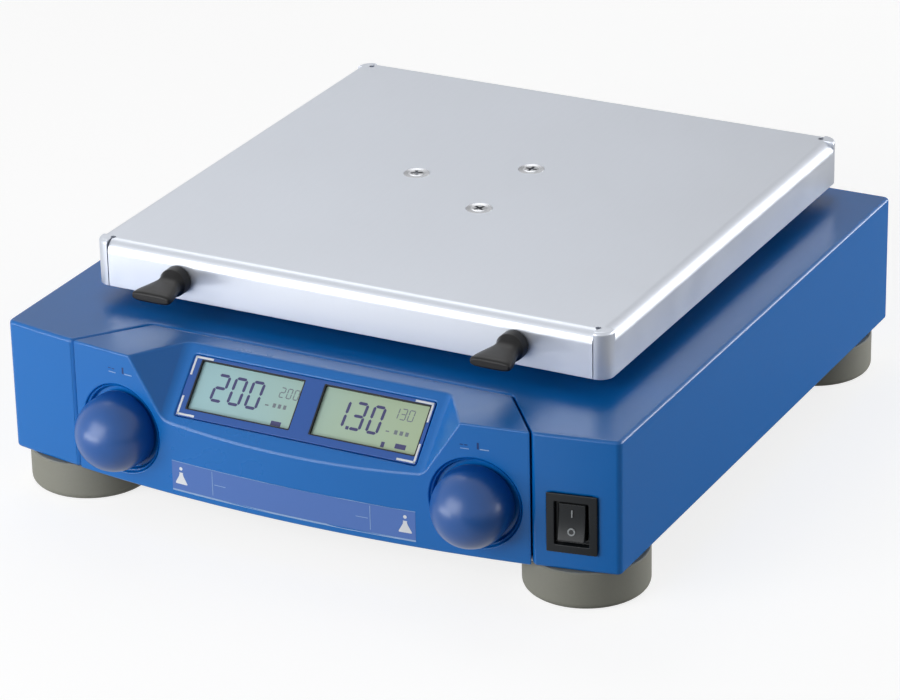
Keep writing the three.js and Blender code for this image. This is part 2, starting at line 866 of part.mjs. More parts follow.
/** The sprung plunger inside an encoder. */
function makePlunger() {
  return solid(rodAlongY(plungerRadius, plungerThickness, 0, plungerFront, 0, smallSides));
}

// Mains switch, drawn in its face frame.

const pivotDepth = rockerPivotIn;
const rockerReach = Math.hypot(rockerHeight / 2, rockerProud + pivotDepth);
const rockerWindow = rockerReach + turnGap;
const rockerFoot = rockerHeight / 2 - rockerHeel;
const rockerDepth = pivotDepth + Math.hypot(rockerHeel, rockerFoot / 2) + turnGap;

/** The switch housing: a rimmed flange, a sunk well above and beside the rocker, and a body behind. */
function makeSwitchHousing() {
  const flange = solid(new THREE.BoxGeometry(switchWidth, switchFlange, switchHeight)
    .translate(0, -seatGap - switchFlange / 2, 0));
  const bodyWidthHere = switchCutWidth - seatGap * 2;
  const bodyHeightHere = switchCutHeight - seatGap * 2;
  const bodyLength = switchBodyDepth + seatGap + switchFlange / 2;
  const core = solid(new THREE.BoxGeometry(bodyWidthHere, bodyLength, bodyHeightHere)
    .translate(0, switchBodyDepth - bodyLength / 2, 0));
  const wellHeight = rockerWindow * 2 + switchShelf;
  const wellFront = -seatGap - switchFlange - overrun;
  const shelf = solid(new THREE.BoxGeometry(switchWellWidth, switchWellDepth - wellFront, wellHeight)
    .translate(0, (wellFront + switchWellDepth) / 2, 0));
  const slotWidth = rockerWidth + turnGap * 2;
  const slot = solid(new THREE.BoxGeometry(slotWidth, rockerDepth - wellFront, rockerWindow * 2)
    .translate(0, (wellFront + rockerDepth) / 2, 0));
  return cut(join(flange, core), shelf, slot);
}

/** The rocker, with a shallow valley across its middle, tipped by half its throw at rest. */
function makeRocker() {
  const half = rockerHeight / 2;
  const section = [
    [-rockerProud, half],
    [-rockerValley, 0],
    [-rockerProud, -half],
    [pivotDepth, -half],
    [pivotDepth + rockerHeel, -rockerFoot / 2],
    [pivotDepth + rockerHeel, rockerFoot / 2],
    [pivotDepth, half],
  ];
  const tip = THREE.MathUtils.degToRad(rockerThrow);
  const geometry = prismAlongX(section, rockerWidth)
    .translate(0, -pivotDepth, 0)
    .rotateX(-tip)
    .translate(0, pivotDepth, 0);
  return solid(geometry);
}

// Tray, column and swing plate, drawn in the body's frame.

const trayScrewDegrees = [60, 180, 300];
const trayScrewNames = ['right_rear', 'left', 'right_front'];
const trayScrewPlaces = trayScrewDegrees.map((degrees, index) => ({
  name: trayScrewNames[index],
  x: hubX + trayScrewCircle * Math.cos(THREE.MathUtils.degToRad(degrees)),
  y: hubY + trayScrewCircle * Math.sin(THREE.MathUtils.degToRad(degrees)),
}));

/** A square plan with round corners. */
function squarePlan(half, corner) {
  const plan = new THREE.Shape();
  const reach = half - corner;
  plan.absarc(reach, reach, corner, 0, Math.PI / 2, false);
  plan.absarc(-reach, reach, corner, Math.PI / 2, Math.PI, false);
  plan.absarc(-reach, -reach, corner, Math.PI, Math.PI * 3 / 2, false);
  plan.absarc(reach, -reach, corner, Math.PI * 3 / 2, Math.PI * 2, false);
  plan.closePath();
  return plan;
}

/** A countersunk screw's space: a cone at the top and a hole down from it. */
function screwSpace(x, y, gap, depth) {
  const cone = turned([
    [0, trayTop - trayScrewHeadDepth],
    [trayScrewRadius + gap, trayTop - trayScrewHeadDepth],
    [trayScrewHead + gap, trayTop],
    [trayScrewHead + gap, trayTop + overrun],
    [0, trayTop + overrun],
  ], roundSides).translate(x, y, 0);
  const hole = rod(trayScrewRadius + gap, depth + overrun, x, y, trayTop - depth, smallSides);
  return join(solid(cone), solid(hole));
}

const thumbZ = trayTop - thumbDrop;
const trayFront = trayY - traySize / 2;

/** The tray: a shallow pan turned upside down, with three screw holes and two holes in its front flange. */
function makeTray() {
  const half = traySize / 2;
  const outside = roundedPrism(
    squarePlan(half, trayCorner),
    trayBottom,
    trayTop,
    trayBend,
    edgeSteps,
    bendSteps,
  );
  const inside = roundedPrism(
    squarePlan(half - traySheet, trayCorner - traySheet),
    trayBottom - overrun,
    trayUnderside,
    trayBend - traySheet,
    edgeSteps,
    edgeSteps,
  );
  const pan = cut(outside, inside).translate([trayX, trayY, 0]);
  const screwHoles = trayScrewPlaces.map(({ x, y }) => screwSpace(x, y, seatGap, traySheet + overrun));
  const thumbHoles = [-thumbX, thumbX].map((x) => solid(rodAlongY(
    thumbScrewRadius + runGap,
    traySheet + overrun * 2,
    trayX + x,
    trayFront - overrun,
    thumbZ,
    smallSides,
  )));
  return cut(pan, ...screwHoles, ...thumbHoles);
}

/** A countersunk tray screw with a cross recess. */
function makeTrayScrew({ x, y }) {
  const cone = solid(turned([
    [0, trayTop - trayScrewHeadDepth],
    [trayScrewRadius, trayTop - trayScrewHeadDepth],
    [trayScrewHead, trayTop],
    [0, trayTop],
  ], roundSides).translate(x, y, 0));
  const shankLow = trayTop - trayScrewLength;
  const shankLength = trayScrewLength - trayScrewHeadDepth / 2;
  const shank = solid(rod(trayScrewRadius, shankLength, x, y, shankLow, smallSides));
  const bars = [[crossSpan, crossWidth], [crossWidth, crossSpan]].map(([width, depth]) => (
    solid(block(width, depth, crossDepth + overrun, x, y, trayTop - crossDepth))
  ));
  return cut(join(cone, shank), ...bars);
}

/** The column between the swing plate and the tray. */
function makeColumn() {
  const low = swingTop + seatGap;
  const tube = solid(rod(columnRadius, columnTop - low, hubX, hubY, low, wideSides));
  const bore = solid(rod(columnBore, columnTop - low + overrun * 2, hubX, hubY, low - overrun));
  const depth = trayScrewLength + turnGap;
  return cut(tube, bore, ...trayScrewPlaces.map(({ x, y }) => screwSpace(x, y, runGap, depth)));
}

const hubLow = swingTop - hubBearingHeight - hubRimRise;
const bearingLow = hubLow + seatGap;

/** The swing plate: a three-armed plate with a hub for the main bearing and a boss on each arm. */
function makeSwingPlate() {
  const disc = solid(rod(columnRadius, swingThickness, hubX, hubY, swingBottom));
  const hubHeight = swingTop + hubRimRise - hubLow;
  const hub = solid(rod(swingHubRadius, hubHeight, hubX, hubY, hubLow));
  const arms = idlerPlaces.map(({ x, y }) => {
    const turn = Math.atan2(y - crankY, x - crankX);
    const arm = new THREE.BoxGeometry(idlerCircle, swingWebHalf * 2, swingThickness)
      .translate(idlerCircle / 2, 0, swingBottom + swingThickness / 2)
      .rotateZ(turn)
      .translate(hubX, hubY, 0);
    return solid(arm);
  });
  const lobes = idlerPlaces.map(({ x, y }) => (
    solid(rod(swingLobeRadius, swingThickness, x - eccentricity, y, swingBottom))
  ));
  const bosses = idlerPlaces.map(({ x, y }) => solid(
    rod(idlerDiscRadius - seatGap, idlerBossDepth + swingThickness / 2, x - eccentricity, y,
      swingBottom - idlerBossDepth),
  ));
  const pinHoles = idlerPlaces.map(({ x, y }) => solid(
    rod(idlerPinRadius + turnGap, idlerBossDepth + swingThickness + overrun * 2, x - eccentricity, y,
      swingBottom - idlerBossDepth - overrun, roundSides),
  ));
  const bearingHole = solid(rod(
    hubBearingOuter + seatGap,
    hubHeight + overrun * 2,
    hubX,
    hubY,
    hubLow - overrun,
  ));
  return cut(join(disc, hub, ...arms, ...lobes, ...bosses), bearingHole, ...pinHoles);
}

/** A ball bearing as one plain ring. */
function makeBearing(outer, inner, height, x, y, low) {
  const ring = solid(rod(outer, height, x, y, low));
  return cut(ring, solid(rod(inner, height + overrun * 2, x, y, low - overrun)));
}

// Thumb screws, drawn in a frame at the front flange's face, on the screw's axis, with -Y pointing out.

/** A thumb screw: a threaded stem, a round collar and a flat blade, with flanks that taper between them. */
function makeThumbScrew() {
  const collarBack = -seatGap;
  const collarFront = collarBack - thumbCollarLength;
  const collar = solid(rodAlongY(thumbCollarRadius, thumbCollarLength, 0, collarFront, 0));
  const halfWidth = thumbBladeWidth / 2;
  const halfHeight = thumbBladeThickness / 2;
  const blade = solid(block(thumbBladeWidth, thumbBladeLength, thumbBladeThickness, 0,
    collarFront - thumbBladeLength / 2, -halfHeight));
  const taperBack = collarFront + thumbCollarLength - thumbTaper / 2;
  const backWidth = thumbCollarRadius / 2;
  const backHeight = Math.sqrt(thumbCollarRadius * thumbCollarRadius - backWidth * backWidth);
  const taperFront = collarFront - thumbTaper / 2;
  const corners = [-1, 1].flatMap((side) => [-1, 1].flatMap((rise) => [
    [side * backWidth, taperBack, rise * backHeight],
    [side * thumbCollarRadius, taperBack, rise * halfHeight],
    [side * halfWidth, taperFront, rise * halfHeight],
  ]));
  const flanks = solid(hull(corners)).intersect(
    solid(block(bodyWidth, bodyDepth, thumbCollarRadius * 2, 0, 0, -thumbCollarRadius)),
  );
  const stemLength = thumbTipReach - collarBack + overrun;
  const stem = solid(rodAlongY(thumbScrewRadius, stemLength, 0, collarBack - overrun, 0, smallSides));
  return join(collar, blade, flanks, stem);
}

/** The nut welded behind the front flange. */
function makeThumbNut() {
  const cornerRadius = thumbNutAcross / 2 / Math.cos(Math.PI / nutSides);
  const nut = rodAlongY(cornerRadius, thumbNutLength, 0, traySheet + seatGap, 0, nutSides);
  const hole = rodAlongY(thumbScrewRadius + runGap, thumbNutLength + overrun * 2, 0,
    traySheet + seatGap - overrun, 0, smallSides);
  return cut(solid(nut), solid(hole));
}

/** The pressure pad at a thumb screw's tip. */
function makeThumbPad() {
  return solid(rodAlongY(thumbPadRadius, thumbPadLength, 0, thumbTipReach + turnGap, 0, smallSides));
}

// Crank, bearing block, pulley and counterweight.

const blockTop = floorLevel + blockHeight;
const pulleyLow = blockTop + turnGap;
const pulleyTop = pulleyLow + pulleyHeight;
const beltLow = pulleyLow + pulleyLip + beltSideGap;
const beltHeight = pulleyHeight - (pulleyLip + beltSideGap) * 2;
const lowerBearing = floorLevel + seatGap * 2;
const upperBearing = lowerBearing + crankBearingSpacing;
const weightLow = pulleyTop + seatGap;
const cheekTop = hubLow - turnGap;

/** One of the two bearings around the crank's journal. */
function makeCrankBearing(low) {
  return makeBearing(crankBearingOuter, crankShaftRadius, crankBearingHeight, crankX, crankY, low);
}

/** The block that holds the crank's two bearings. */
function makeBearingBlock() {
  const foot = solid(rod(blockFootRadius, blockFootHeight, crankX, crankY, floorLevel, wideSides));
  const post = solid(rod(blockRadius, blockHeight, crankX, crankY, floorLevel));
  const bore = solid(rod(crankBearingOuter + seatGap, blockHeight + overrun * 2, crankX, crankY,
    floorLevel - overrun));
  return cut(join(foot, post), bore);
}

/** The crank shaft: a journal, a cheek above the pulley and the eccentric pin that carries the tray. */
function makeCrankShaft() {
  const journalLow = lowerBearing;
  const journal = solid(rod(crankShaftRadius - runGap, cheekTop - journalLow, crankX, crankY, journalLow,
    smallSides));
  const cheekLow = weightLow;
  const cheek = solid(rod(weightInner - turnGap, cheekTop - cheekLow, crankX, crankY, cheekLow));
  const pin = solid(rod(pinRadius - runGap, bearingLow + hubBearingHeight - cheekTop + overrun, hubX, hubY,
    cheekTop - overrun));
  return join(journal, cheek, pin);
}

/** A flat belt pulley with a lip above and below the belt. */
function makePulley(radius, x, y, shaftRadius, low, sides) {
  const groove = solid(rod(radius, pulleyHeight, x, y, low, sides));
  const lips = [low, low + pulleyHeight - pulleyLip].map((level) => (
    solid(rod(radius + pulleyRim, pulleyLip, x, y, level, sides))
  ));
  const bore = solid(rod(shaftRadius, pulleyHeight + overrun * 2, x, y, low - overrun, smallSides));
  return cut(join(groove, ...lips), bore);
}

/** The large pulley on the crank, dished between its hub and its rim. */
function makeCrankPulley() {
  const full = makePulley(pulleyRadius, crankX, crankY, crankShaftRadius, pulleyLow, wideSides);
  const dishHeight = pulleyHeight - pulleyWeb;
  const dish = makeBearing(pulleyRadius - pulleyRimWall, pulleyHub, dishHeight, crankX, crankY,
    pulleyLow - turnGap);
  return cut(full, dish);
}

/** The small pulley on the motor's shaft. */
function makeMotorPulley() {
  const bore = rotorShaftRadius + seatGap;
  return makePulley(motorPulleyRadius, motorX, motorY, bore, pulleyLow, roundSides);
}

/** The counterweight, a half ring opposite the eccentric pin. */
function makeCounterweight() {
  const plan = new THREE.Shape();
  plan.absarc(0, 0, weightOuter, -Math.PI / 2, Math.PI / 2, false);
  plan.absarc(0, 0, weightInner, Math.PI / 2, -Math.PI / 2, true);
  plan.closePath();
  const weight = prism(plan, weightLow, weightLow + weightHeight, smallSides / 2);
  return solid(weight.translate(crankX, crankY, 0));
}

// Idler cranks and their posts.

const idlerBossLow = swingBottom - idlerBossDepth;
const idlerDiscLow = idlerBossLow - turnGap - idlerDiscHeight;
const idlerPostTop = idlerDiscLow - turnGap;

/** A post on the base plate with a bore for an idler's shaft. */
function makeIdlerPost({ x, y }) {
  const foot = solid(rod(idlerPostFoot, idlerPostFootHeight, x, y, floorLevel));
  const post = solid(rod(idlerPostRadius, idlerPostTop - floorLevel, x, y, floorLevel));
  const bore = solid(rod(idlerPinRadius + turnGap, idlerShaftDepth + turnGap + overrun, x, y,
    idlerPostTop - idlerShaftDepth - turnGap));
  return cut(join(foot, post), bore);
}

/** An idler crank: a shaft below, a disc, and a pin set off by the eccentricity above. */
function makeIdler({ x, y }) {
  const shaft = solid(rod(idlerPinRadius, idlerShaftDepth + turnGap + idlerDiscHeight / 2, x, y,
    idlerPostTop - idlerShaftDepth));
  const disc = solid(rod(idlerDiscRadius, idlerDiscHeight, x, y, idlerDiscLow));
  const pinLow = idlerDiscLow + idlerDiscHeight / 2;
  const pin = solid(rod(idlerPinRadius, swingTop - seatGap - pinLow, x - eccentricity, y, pinLow));
  return join(shaft, disc, pin);
}

// Motor and belt.

const motorTop = floorLevel + motorHeight;
const statorLow = floorLevel + (motorHeight - motorWall - statorHeight) / 2;

/** The motor's case: a cup with its rim on the base plate and a hole for the shaft. */
function makeMotorCase() {
  const cup = solid(rod(motorRadius, motorHeight, motorX, motorY, floorLevel, wideSides));
  const hollow = solid(rod(motorRadius - motorWall, motorHeight - motorWall + overrun, motorX, motorY,
    floorLevel - overrun, wideSides));
  const hole = solid(rod(rotorShaftRadius + turnGap, motorWall + overrun * 2, motorX, motorY,
    motorTop - motorWall - overrun, smallSides));
  return cut(cup, hollow, hole);
}

/** The stator ring with its windings. */
function makeStator() {
  const outer = motorRadius - motorWall - seatGap;
  return makeBearing(outer, statorInner, statorHeight, motorX, motorY, statorLow);
}

/** The rotor on its shaft. */
function makeRotor() {
  const low = statorLow - (rotorHeight - statorHeight) / 2;
  const drum = solid(rod(rotorRadius, rotorHeight, motorX, motorY, low));
  const shaft = solid(rod(rotorShaftRadius, pulleyTop + seatGap - low, motorX, motorY, low, smallSides));
  return join(drum, shaft);
}

/** The belt's plan around both pulleys, at a distance from their grooves. */
function beltPlan(offset) {
  const big = pulleyRadius + offset;
  const small = motorPulleyRadius + offset;
  const lean = Math.acos((big - small) / motorDistance);
  const plan = new THREE.Shape();
  plan.absarc(0, 0, big, lean, Math.PI * 2 - lean, false);
  plan.absarc(motorDistance, 0, small, -lean, lean, false);
  plan.closePath();
  return plan;
}

/** The flat drive belt. */
function makeBelt() {
  const loop = (offset, low, high) => solid(prism(beltPlan(offset), low, high, roundSides / 2)
    .rotateZ(motorTurn)
    .translate(crankX, crankY, 0));
  const outer = loop(turnGap + beltThickness, beltLow, beltLow + beltHeight);
  const inner = loop(turnGap, beltLow - overrun, beltLow + beltHeight + overrun);
  return cut(outer, inner);
}

// Electronics on the base plate.

/** The power supply: a sheet-metal box with a lid that stands a little proud. */
function makePowerSupply() {
  const box = solid(block(supplyWidth, supplyDepth, supplyHeight, supplyX, supplyY, floorLevel));
  const lid = solid(block(supplyWidth + supplyLid * 2, supplyDepth + supplyLid * 2, supplyLid, supplyX,
    supplyY, floorLevel + supplyHeight - supplyLid / 2));
  return join(box, lid);
}

/** The control board with its chips, a capacitor and two plug headers. */
function makeControlBoard() {
  const low = plateTop + controlStandoff + seatGap;
  const board = solid(block(controlWidth, controlDepth, boardThickness, 0, controlY, low));
  const top = low + boardThickness / 2;
  const partShares = [
    [-0.3, 0.1, 0.16, 0.4, 2],
    [0.05, 0.1, 0.1, 0.3, 2],
    [0.32, 0.28, 0.2, 0.2, 6],
    [0.32, -0.28, 0.2, 0.2, 6],
  ];
  const blocks = partShares.map(([x, y, width, depth, height]) => solid(block(
    width * controlWidth,
    depth * controlDepth,
    height * boardThickness,
    x * controlWidth,
    controlY + y * controlDepth,
    top,
  )));
  const canX = canPlaceShares[0] * controlWidth;
  const canY = controlY + canPlaceShares[1] * controlDepth;
  const capacitor = solid(rod(canRadius, canHeight, canX, canY, top, smallSides));
  return join(board, ...blocks, capacitor);
}

// Mains inlet and serial socket, drawn in a frame on the rear wall, where +Y points out.

/** The mains inlet: a flanged body with a socket, three blade pins and a slot for the fuse drawer. */
function makeInlet() {
  const flange = solid(new THREE.BoxGeometry(inletWidth, inletFlange, inletHeight)
    .translate(0, seatGap + inletFlange / 2, 0));
  const depth = inletBodyDepth + seatGap + inletFlange / 2;
  const core = solid(new THREE.BoxGeometry(inletBodyWidth, depth, inletBodyHeight)
    .translate(0, depth / 2 - inletBodyDepth, 0));
  const mouth = seatGap + inletFlange;
  const cornerShares = [
    [-0.5, -0.5],
    [0.5, -0.5],
    [0.5, 0.22],
    [0.33, 0.5],
    [-0.33, 0.5],
    [-0.5, 0.22],
  ];
  const corners = cornerShares.map(([x, z]) => new THREE.Vector2(x * socketWidth, z * socketHeight));
  const socket = solid(new THREE.ExtrudeGeometry(new THREE.Shape(corners), {
    depth: socketDepth + overrun,
    bevelEnabled: false,
  }).rotateX(Math.PI / 2).translate(0, mouth + overrun, socketRise));
  const drawerSlot = solid(new THREE.BoxGeometry(fuseWidth + seatGap * 2, fuseDepth + seatGap + overrun,
    fuseHeight + seatGap * 2).translate(0, mouth + (overrun - fuseDepth - seatGap) / 2, -fuseDrop));
  const pinBack = mouth - socketDepth;
  const pinPlaces = [
    [-pinPitch / 2, -earthPinRise / 2],
    [pinPitch / 2, -earthPinRise / 2],
    [0, earthPinRise / 2],
  ];
  const pins = pinPlaces.map(([x, z]) => solid(
    new THREE.BoxGeometry(pinWidth, pinLength + overrun, pinHeight)
      .translate(x, pinBack + (pinLength - overrun) / 2, socketRise + z),
  ));
  return join(cut(join(flange, core), socket, drawerSlot), ...pins);
}

/** The fuse drawer below the socket. */
function makeFuseDrawer() {
  const mouth = seatGap + inletFlange;
  return solid(new THREE.BoxGeometry(fuseWidth, fuseDepth + fuseProud, fuseHeight)
    .translate(0, mouth + (fuseProud - fuseDepth) / 2, -fuseDrop));
}

/** The nine-way serial socket: a flange with a slanted shell and a body behind. */
function makeSerialSocket() {
  const flange = solid(new THREE.BoxGeometry(serialWidth, serialFlange, serialHeight)
    .translate(0, seatGap + serialFlange / 2, 0));
  const cornerShares = [
    [-0.44, -0.5],
    [0.44, -0.5],
    [0.5, 0.5],
    [-0.5, 0.5],
  ];
  const corners = cornerShares.map(([x, z]) => (
    new THREE.Vector2(x * serialShellWidth, z * serialShellHeight)
  ));
  const length = serialBodyDepth + serialFlange + serialShellOut;
  const shell = solid(new THREE.ExtrudeGeometry(new THREE.Shape(corners), {
    depth: length,
    bevelEnabled: false,
  }).rotateX(Math.PI / 2).translate(0, serialFlange + serialShellOut, 0));
  return join(flange, shell);
}

// Assembly.

addPiece('housing_cover', makeCover(), bluePaint);
addPiece('front_panel', makePanel(), bluePlastic);
addPiece('base_plate', makeBasePlate(), tinPlate);

for (const place of footPlaces) {
  const foot = addPiece(`foot_${place.name}`, makeFoot(), greyRubber);
  foot.position.set(place.x, place.y, 0);
  const screw = addPiece(`foot_screw_${place.name}`, makeFootScrew(), brightSteel);
  screw.position.set(place.x, place.y, 0);
}

addPiece('display_window', makeWindow(), windowTint, slant);
addPiece('left_display', makeDisplay(-1), displayGlass, slant);
addPiece('right_display', makeDisplay(1), displayGlass, slant);
addPiece('display_board', makeDisplayBoard(), boardGreen, slant);

for (const [side, frame] of Object.entries(knobFrames)) {
  const group = faceGroup(frame);
  addPiece(`${side}_encoder`, makeEncoder(), blackPlastic, group);
  addPiece(`${side}_encoder_plunger`, makePlunger(), whitePlastic, group);
  addPiece(`${side}_knob_shaft`, makeKnobShaft(), brightSteel, group);
  addPiece(`${side}_knob`, makeKnob(), knobPlastic, group);
}

const switchGroup = faceGroup(switchFrame);
addPiece('switch_housing', makeSwitchHousing(), blackPlastic, switchGroup);
addPiece('switch_rocker', makeRocker(), blackPlastic, switchGroup);

addPiece('tray', makeTray(), satinSteel);
for (const place of trayScrewPlaces) {
  addPiece(`tray_screw_${place.name}`, makeTrayScrew(place), brightSteel);
}
addPiece('tray_column', makeColumn(), castAlloy);
addPiece('swing_plate', makeSwingPlate(), castAlloy);
const hubBearing = makeBearing(hubBearingOuter, hubBearingInner, hubBearingHeight, hubX, hubY, bearingLow);
addPiece('hub_bearing', hubBearing, brightSteel);

for (const [side, share] of [['left', -1], ['right', 1]]) {
  const group = new THREE.Group();
  group.position.set(trayX + thumbX * share, trayFront, thumbZ);
  body.add(group);
  addPiece(`${side}_thumb_screw`, makeThumbScrew(), blackPlastic, group);
  addPiece(`${side}_thumb_nut`, makeThumbNut(), brightSteel, group);
  addPiece(`${side}_thumb_pad`, makeThumbPad(), whitePlastic, group);
}

addPiece('bearing_block', makeBearingBlock(), castAlloy);
addPiece('lower_crank_bearing', makeCrankBearing(lowerBearing), brightSteel);
addPiece('upper_crank_bearing', makeCrankBearing(upperBearing), brightSteel);
addPiece('crank_shaft', makeCrankShaft(), brightSteel);
addPiece('crank_pulley', makeCrankPulley(), castAlloy);
addPiece('counterweight', makeCounterweight(), tinPlate);
for (const place of idlerPlaces) {
  addPiece(`idler_post_${place.name}`, makeIdlerPost(place), castAlloy);
  addPiece(`idler_crank_${place.name}`, makeIdler(place), brightSteel);
}

addPiece('motor_case', makeMotorCase(), tinPlate);
addPiece('motor_stator', makeStator(), copperWire);
addPiece('motor_rotor', makeRotor(), brightSteel);
addPiece('motor_pulley', makeMotorPulley(), castAlloy);
addPiece('drive_belt', makeBelt(), darkRubber);
addPiece('power_supply', makePowerSupply(), tinPlate);
addPiece('control_board', makeControlBoard(), boardGreen);

const inletGroup = new THREE.Group();
inletGroup.position.set(inletX, rearFace, inletZ);
body.add(inletGroup);
addPiece('mains_inlet', makeInlet(), blackPlastic, inletGroup);
addPiece('fuse_drawer', makeFuseDrawer(), blackPlastic, inletGroup);

const serialGroup = new THREE.Group();
serialGroup.position.set(serialX, rearFace, inletZ);
body.add(serialGroup);
addPiece('serial_socket', makeSerialSocket(), tinPlate, serialGroup);

export default part;
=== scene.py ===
"""Looks of a bench-top orbital shaker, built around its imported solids.

Lengths are in millimetres and angles in degrees. A piece is scaled to metres when it is finished.
"""
import json
import logging
import math
from collections.abc import Callable, Mapping, Sequence
from dataclasses import dataclass, field
from enum import Enum
from typing import Any

import bmesh
import bpy
from mathutils import Matrix, Vector


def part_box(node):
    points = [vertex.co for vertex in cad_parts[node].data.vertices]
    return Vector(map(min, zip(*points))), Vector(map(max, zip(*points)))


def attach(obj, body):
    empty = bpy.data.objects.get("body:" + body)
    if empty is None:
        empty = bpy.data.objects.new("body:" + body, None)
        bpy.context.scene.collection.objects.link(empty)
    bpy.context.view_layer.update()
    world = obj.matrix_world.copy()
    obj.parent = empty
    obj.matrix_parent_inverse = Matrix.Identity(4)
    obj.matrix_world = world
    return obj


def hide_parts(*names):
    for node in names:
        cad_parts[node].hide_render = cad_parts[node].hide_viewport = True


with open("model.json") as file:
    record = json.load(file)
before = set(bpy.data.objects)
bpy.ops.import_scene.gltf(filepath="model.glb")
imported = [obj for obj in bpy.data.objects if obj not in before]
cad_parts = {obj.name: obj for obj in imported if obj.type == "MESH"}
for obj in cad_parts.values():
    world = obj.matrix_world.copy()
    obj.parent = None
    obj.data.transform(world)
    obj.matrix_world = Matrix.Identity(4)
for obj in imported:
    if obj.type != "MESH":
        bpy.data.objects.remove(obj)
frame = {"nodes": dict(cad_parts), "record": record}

MM = 0.001
LOG = logging.getLogger("shaker")
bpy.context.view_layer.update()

Point2 = tuple[float, float]
Point3 = tuple[float, float, float]
Rectangle = tuple[float, float, float, float]
Colour = tuple[float, float, float, float]

SIDES = (("left", -1), ("right", 1))
UPRIGHT = Matrix.Rotation(math.pi / 2, 4, "X")

# In millimetres: how far a cutting block reaches past its work, and how near two points are one
SLACK = 2.0
MERGE = 1e-4

# In degrees: flatter faces are joined, sharper edges stay sharp in the shading, and sharper edges
# of a small fitting are rounded
FLAT = 0.4
CREASE = 38.0
SHARP = 40.0


def linear(code: str) -> Colour:
    """Turns an sRGB colour such as #1f62ad into linear light."""
    shares = [int(code[place:place + 2], 16) / 255 for place in (1, 3, 5)]
    red, green, blue = (s / 12.92 if s <= 0.04045 else ((s + 0.055) / 1.055) ** 2.4 for s in shares)
    return red, green, blue, 1.0


def shaded(code: str, shares: Sequence[float]) -> Colour:
    """Turns an sRGB colour into linear light, with red, green and blue each times a share."""
    red, green, blue = (min(1.0, part * share) for part, share in zip(linear(code), shares))
    return red, green, blue, 1.0


def box_of(node: str) -> tuple[Vector, Vector]:
    """Gives the lowest and highest corners of a CAD node in millimetres."""
    low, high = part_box(node)
    return Vector(low) / MM, Vector(high) / MM


# Node trees


class Wire:
    """An output socket that takes part in Python sums."""

    def __init__(self, graph: "Graph", socket: bpy.types.NodeSocket) -> None:
        """Keeps the socket and the graph that it belongs to."""
        self.graph = graph
        self.socket = socket

    def math(self, operation: str, first: Any, second: Any = 0.0) -> "Wire":
        """Adds one Math node to the graph."""
        return self.graph.node("ShaderNodeMath", {"operation": operation}, {0: first, 1: second})

    def __add__(self, other: Any) -> "Wire":
        """Adds."""
        return self.math("ADD", self, other)

    def __sub__(self, other: Any) -> "Wire":
        """Subtracts."""
        return self.math("SUBTRACT", self, other)

    def __rsub__(self, other: Any) -> "Wire":
        """Subtracts this wire from a number."""
        return self.math("SUBTRACT", other, self)

    def __mul__(self, other: Any) -> "Wire":
        """Multiplies."""
        return self.math("MULTIPLY", self, other)

    def __truediv__(self, other: Any) -> "Wire":
        """Divides."""
        return self.math("DIVIDE", self, other)

    def __rtruediv__(self, other: Any) -> "Wire":
        """Divides a number by this wire."""
        return self.math("DIVIDE", other, self)

    def __mod__(self, other: Any) -> "Wire":
        """Gives the rest of a division, never below zero."""
        return self.math("FLOORED_MODULO", self, other)

    def __gt__(self, other: Any) -> "Wire":
        """Gives one where this wire is the greater, else zero."""
        return self.math("GREATER_THAN", self, other)

    __radd__ = __add__
    __rmul__ = __mul__


class Graph:
    """A node tree that grows through one method."""

    def __init__(self, tree: bpy.types.NodeTree) -> None:
        """Keeps the tree."""
        self.tree = tree

    def node(
        self,
        kind: str,
        settings: Mapping[str, Any] | None = None,
        inputs: Mapping[int | str, Any] | None = None,
        out: int | str = 0,
    ) -> Wire:
        """Adds a node.

        Args:
            kind: The node's type.
            settings: Its properties, which are set first.
            inputs: A value, a wire or a list of wires for each socket.
            out: The output socket to give back.

        Returns:
            The chosen output.
        """
        made = self.tree.nodes.new(kind)
        for name, value in (settings or {}).items():
            setattr(made, name, value)
        for key, value in (inputs or {}).items():
            socket = made.inputs[key]
            for item in value if isinstance(value, list) else [value]:
                if isinstance(item, Wire):
                    self.tree.links.new(item.socket, socket)
                else:
                    socket.default_value = item
        return Wire(self, made.outputs[out])

    def mix(self, share: Any, first: Any, second: Any) -> Wire:
        """Blends two colours."""
        return self.node("ShaderNodeMix", {"data_type": "RGBA"}, {0: share, 6: first, 7: second}, 2)

    def stretch(self, vector: Wire, x: float, y: float, z: float) -> Wire:
        """Multiplies a vector by one number for each axis."""
        return self.node("ShaderNodeVectorMath", {"operation": "MULTIPLY"}, {0: vector, 1: (x, y, z)})

    def noise(self, vector: Wire, scale: float, detail: float = 2.0) -> Wire:
        """Gives smooth noise from 0 to 1, with features about 1 / scale of a metre wide."""
        return self.node("ShaderNodeTexNoise", {}, {"Vector": vector, "Scale": scale, "Detail": detail})

    def ease(self, value: Wire, start: float, end: float) -> Wire:
        """Gives a smooth change from 0 at a start to 1 at an end."""
        return self.node("ShaderNodeMapRange", {"interpolation_type": "SMOOTHSTEP"},
                         {"Value": value, "From Min": start, "From Max": end})


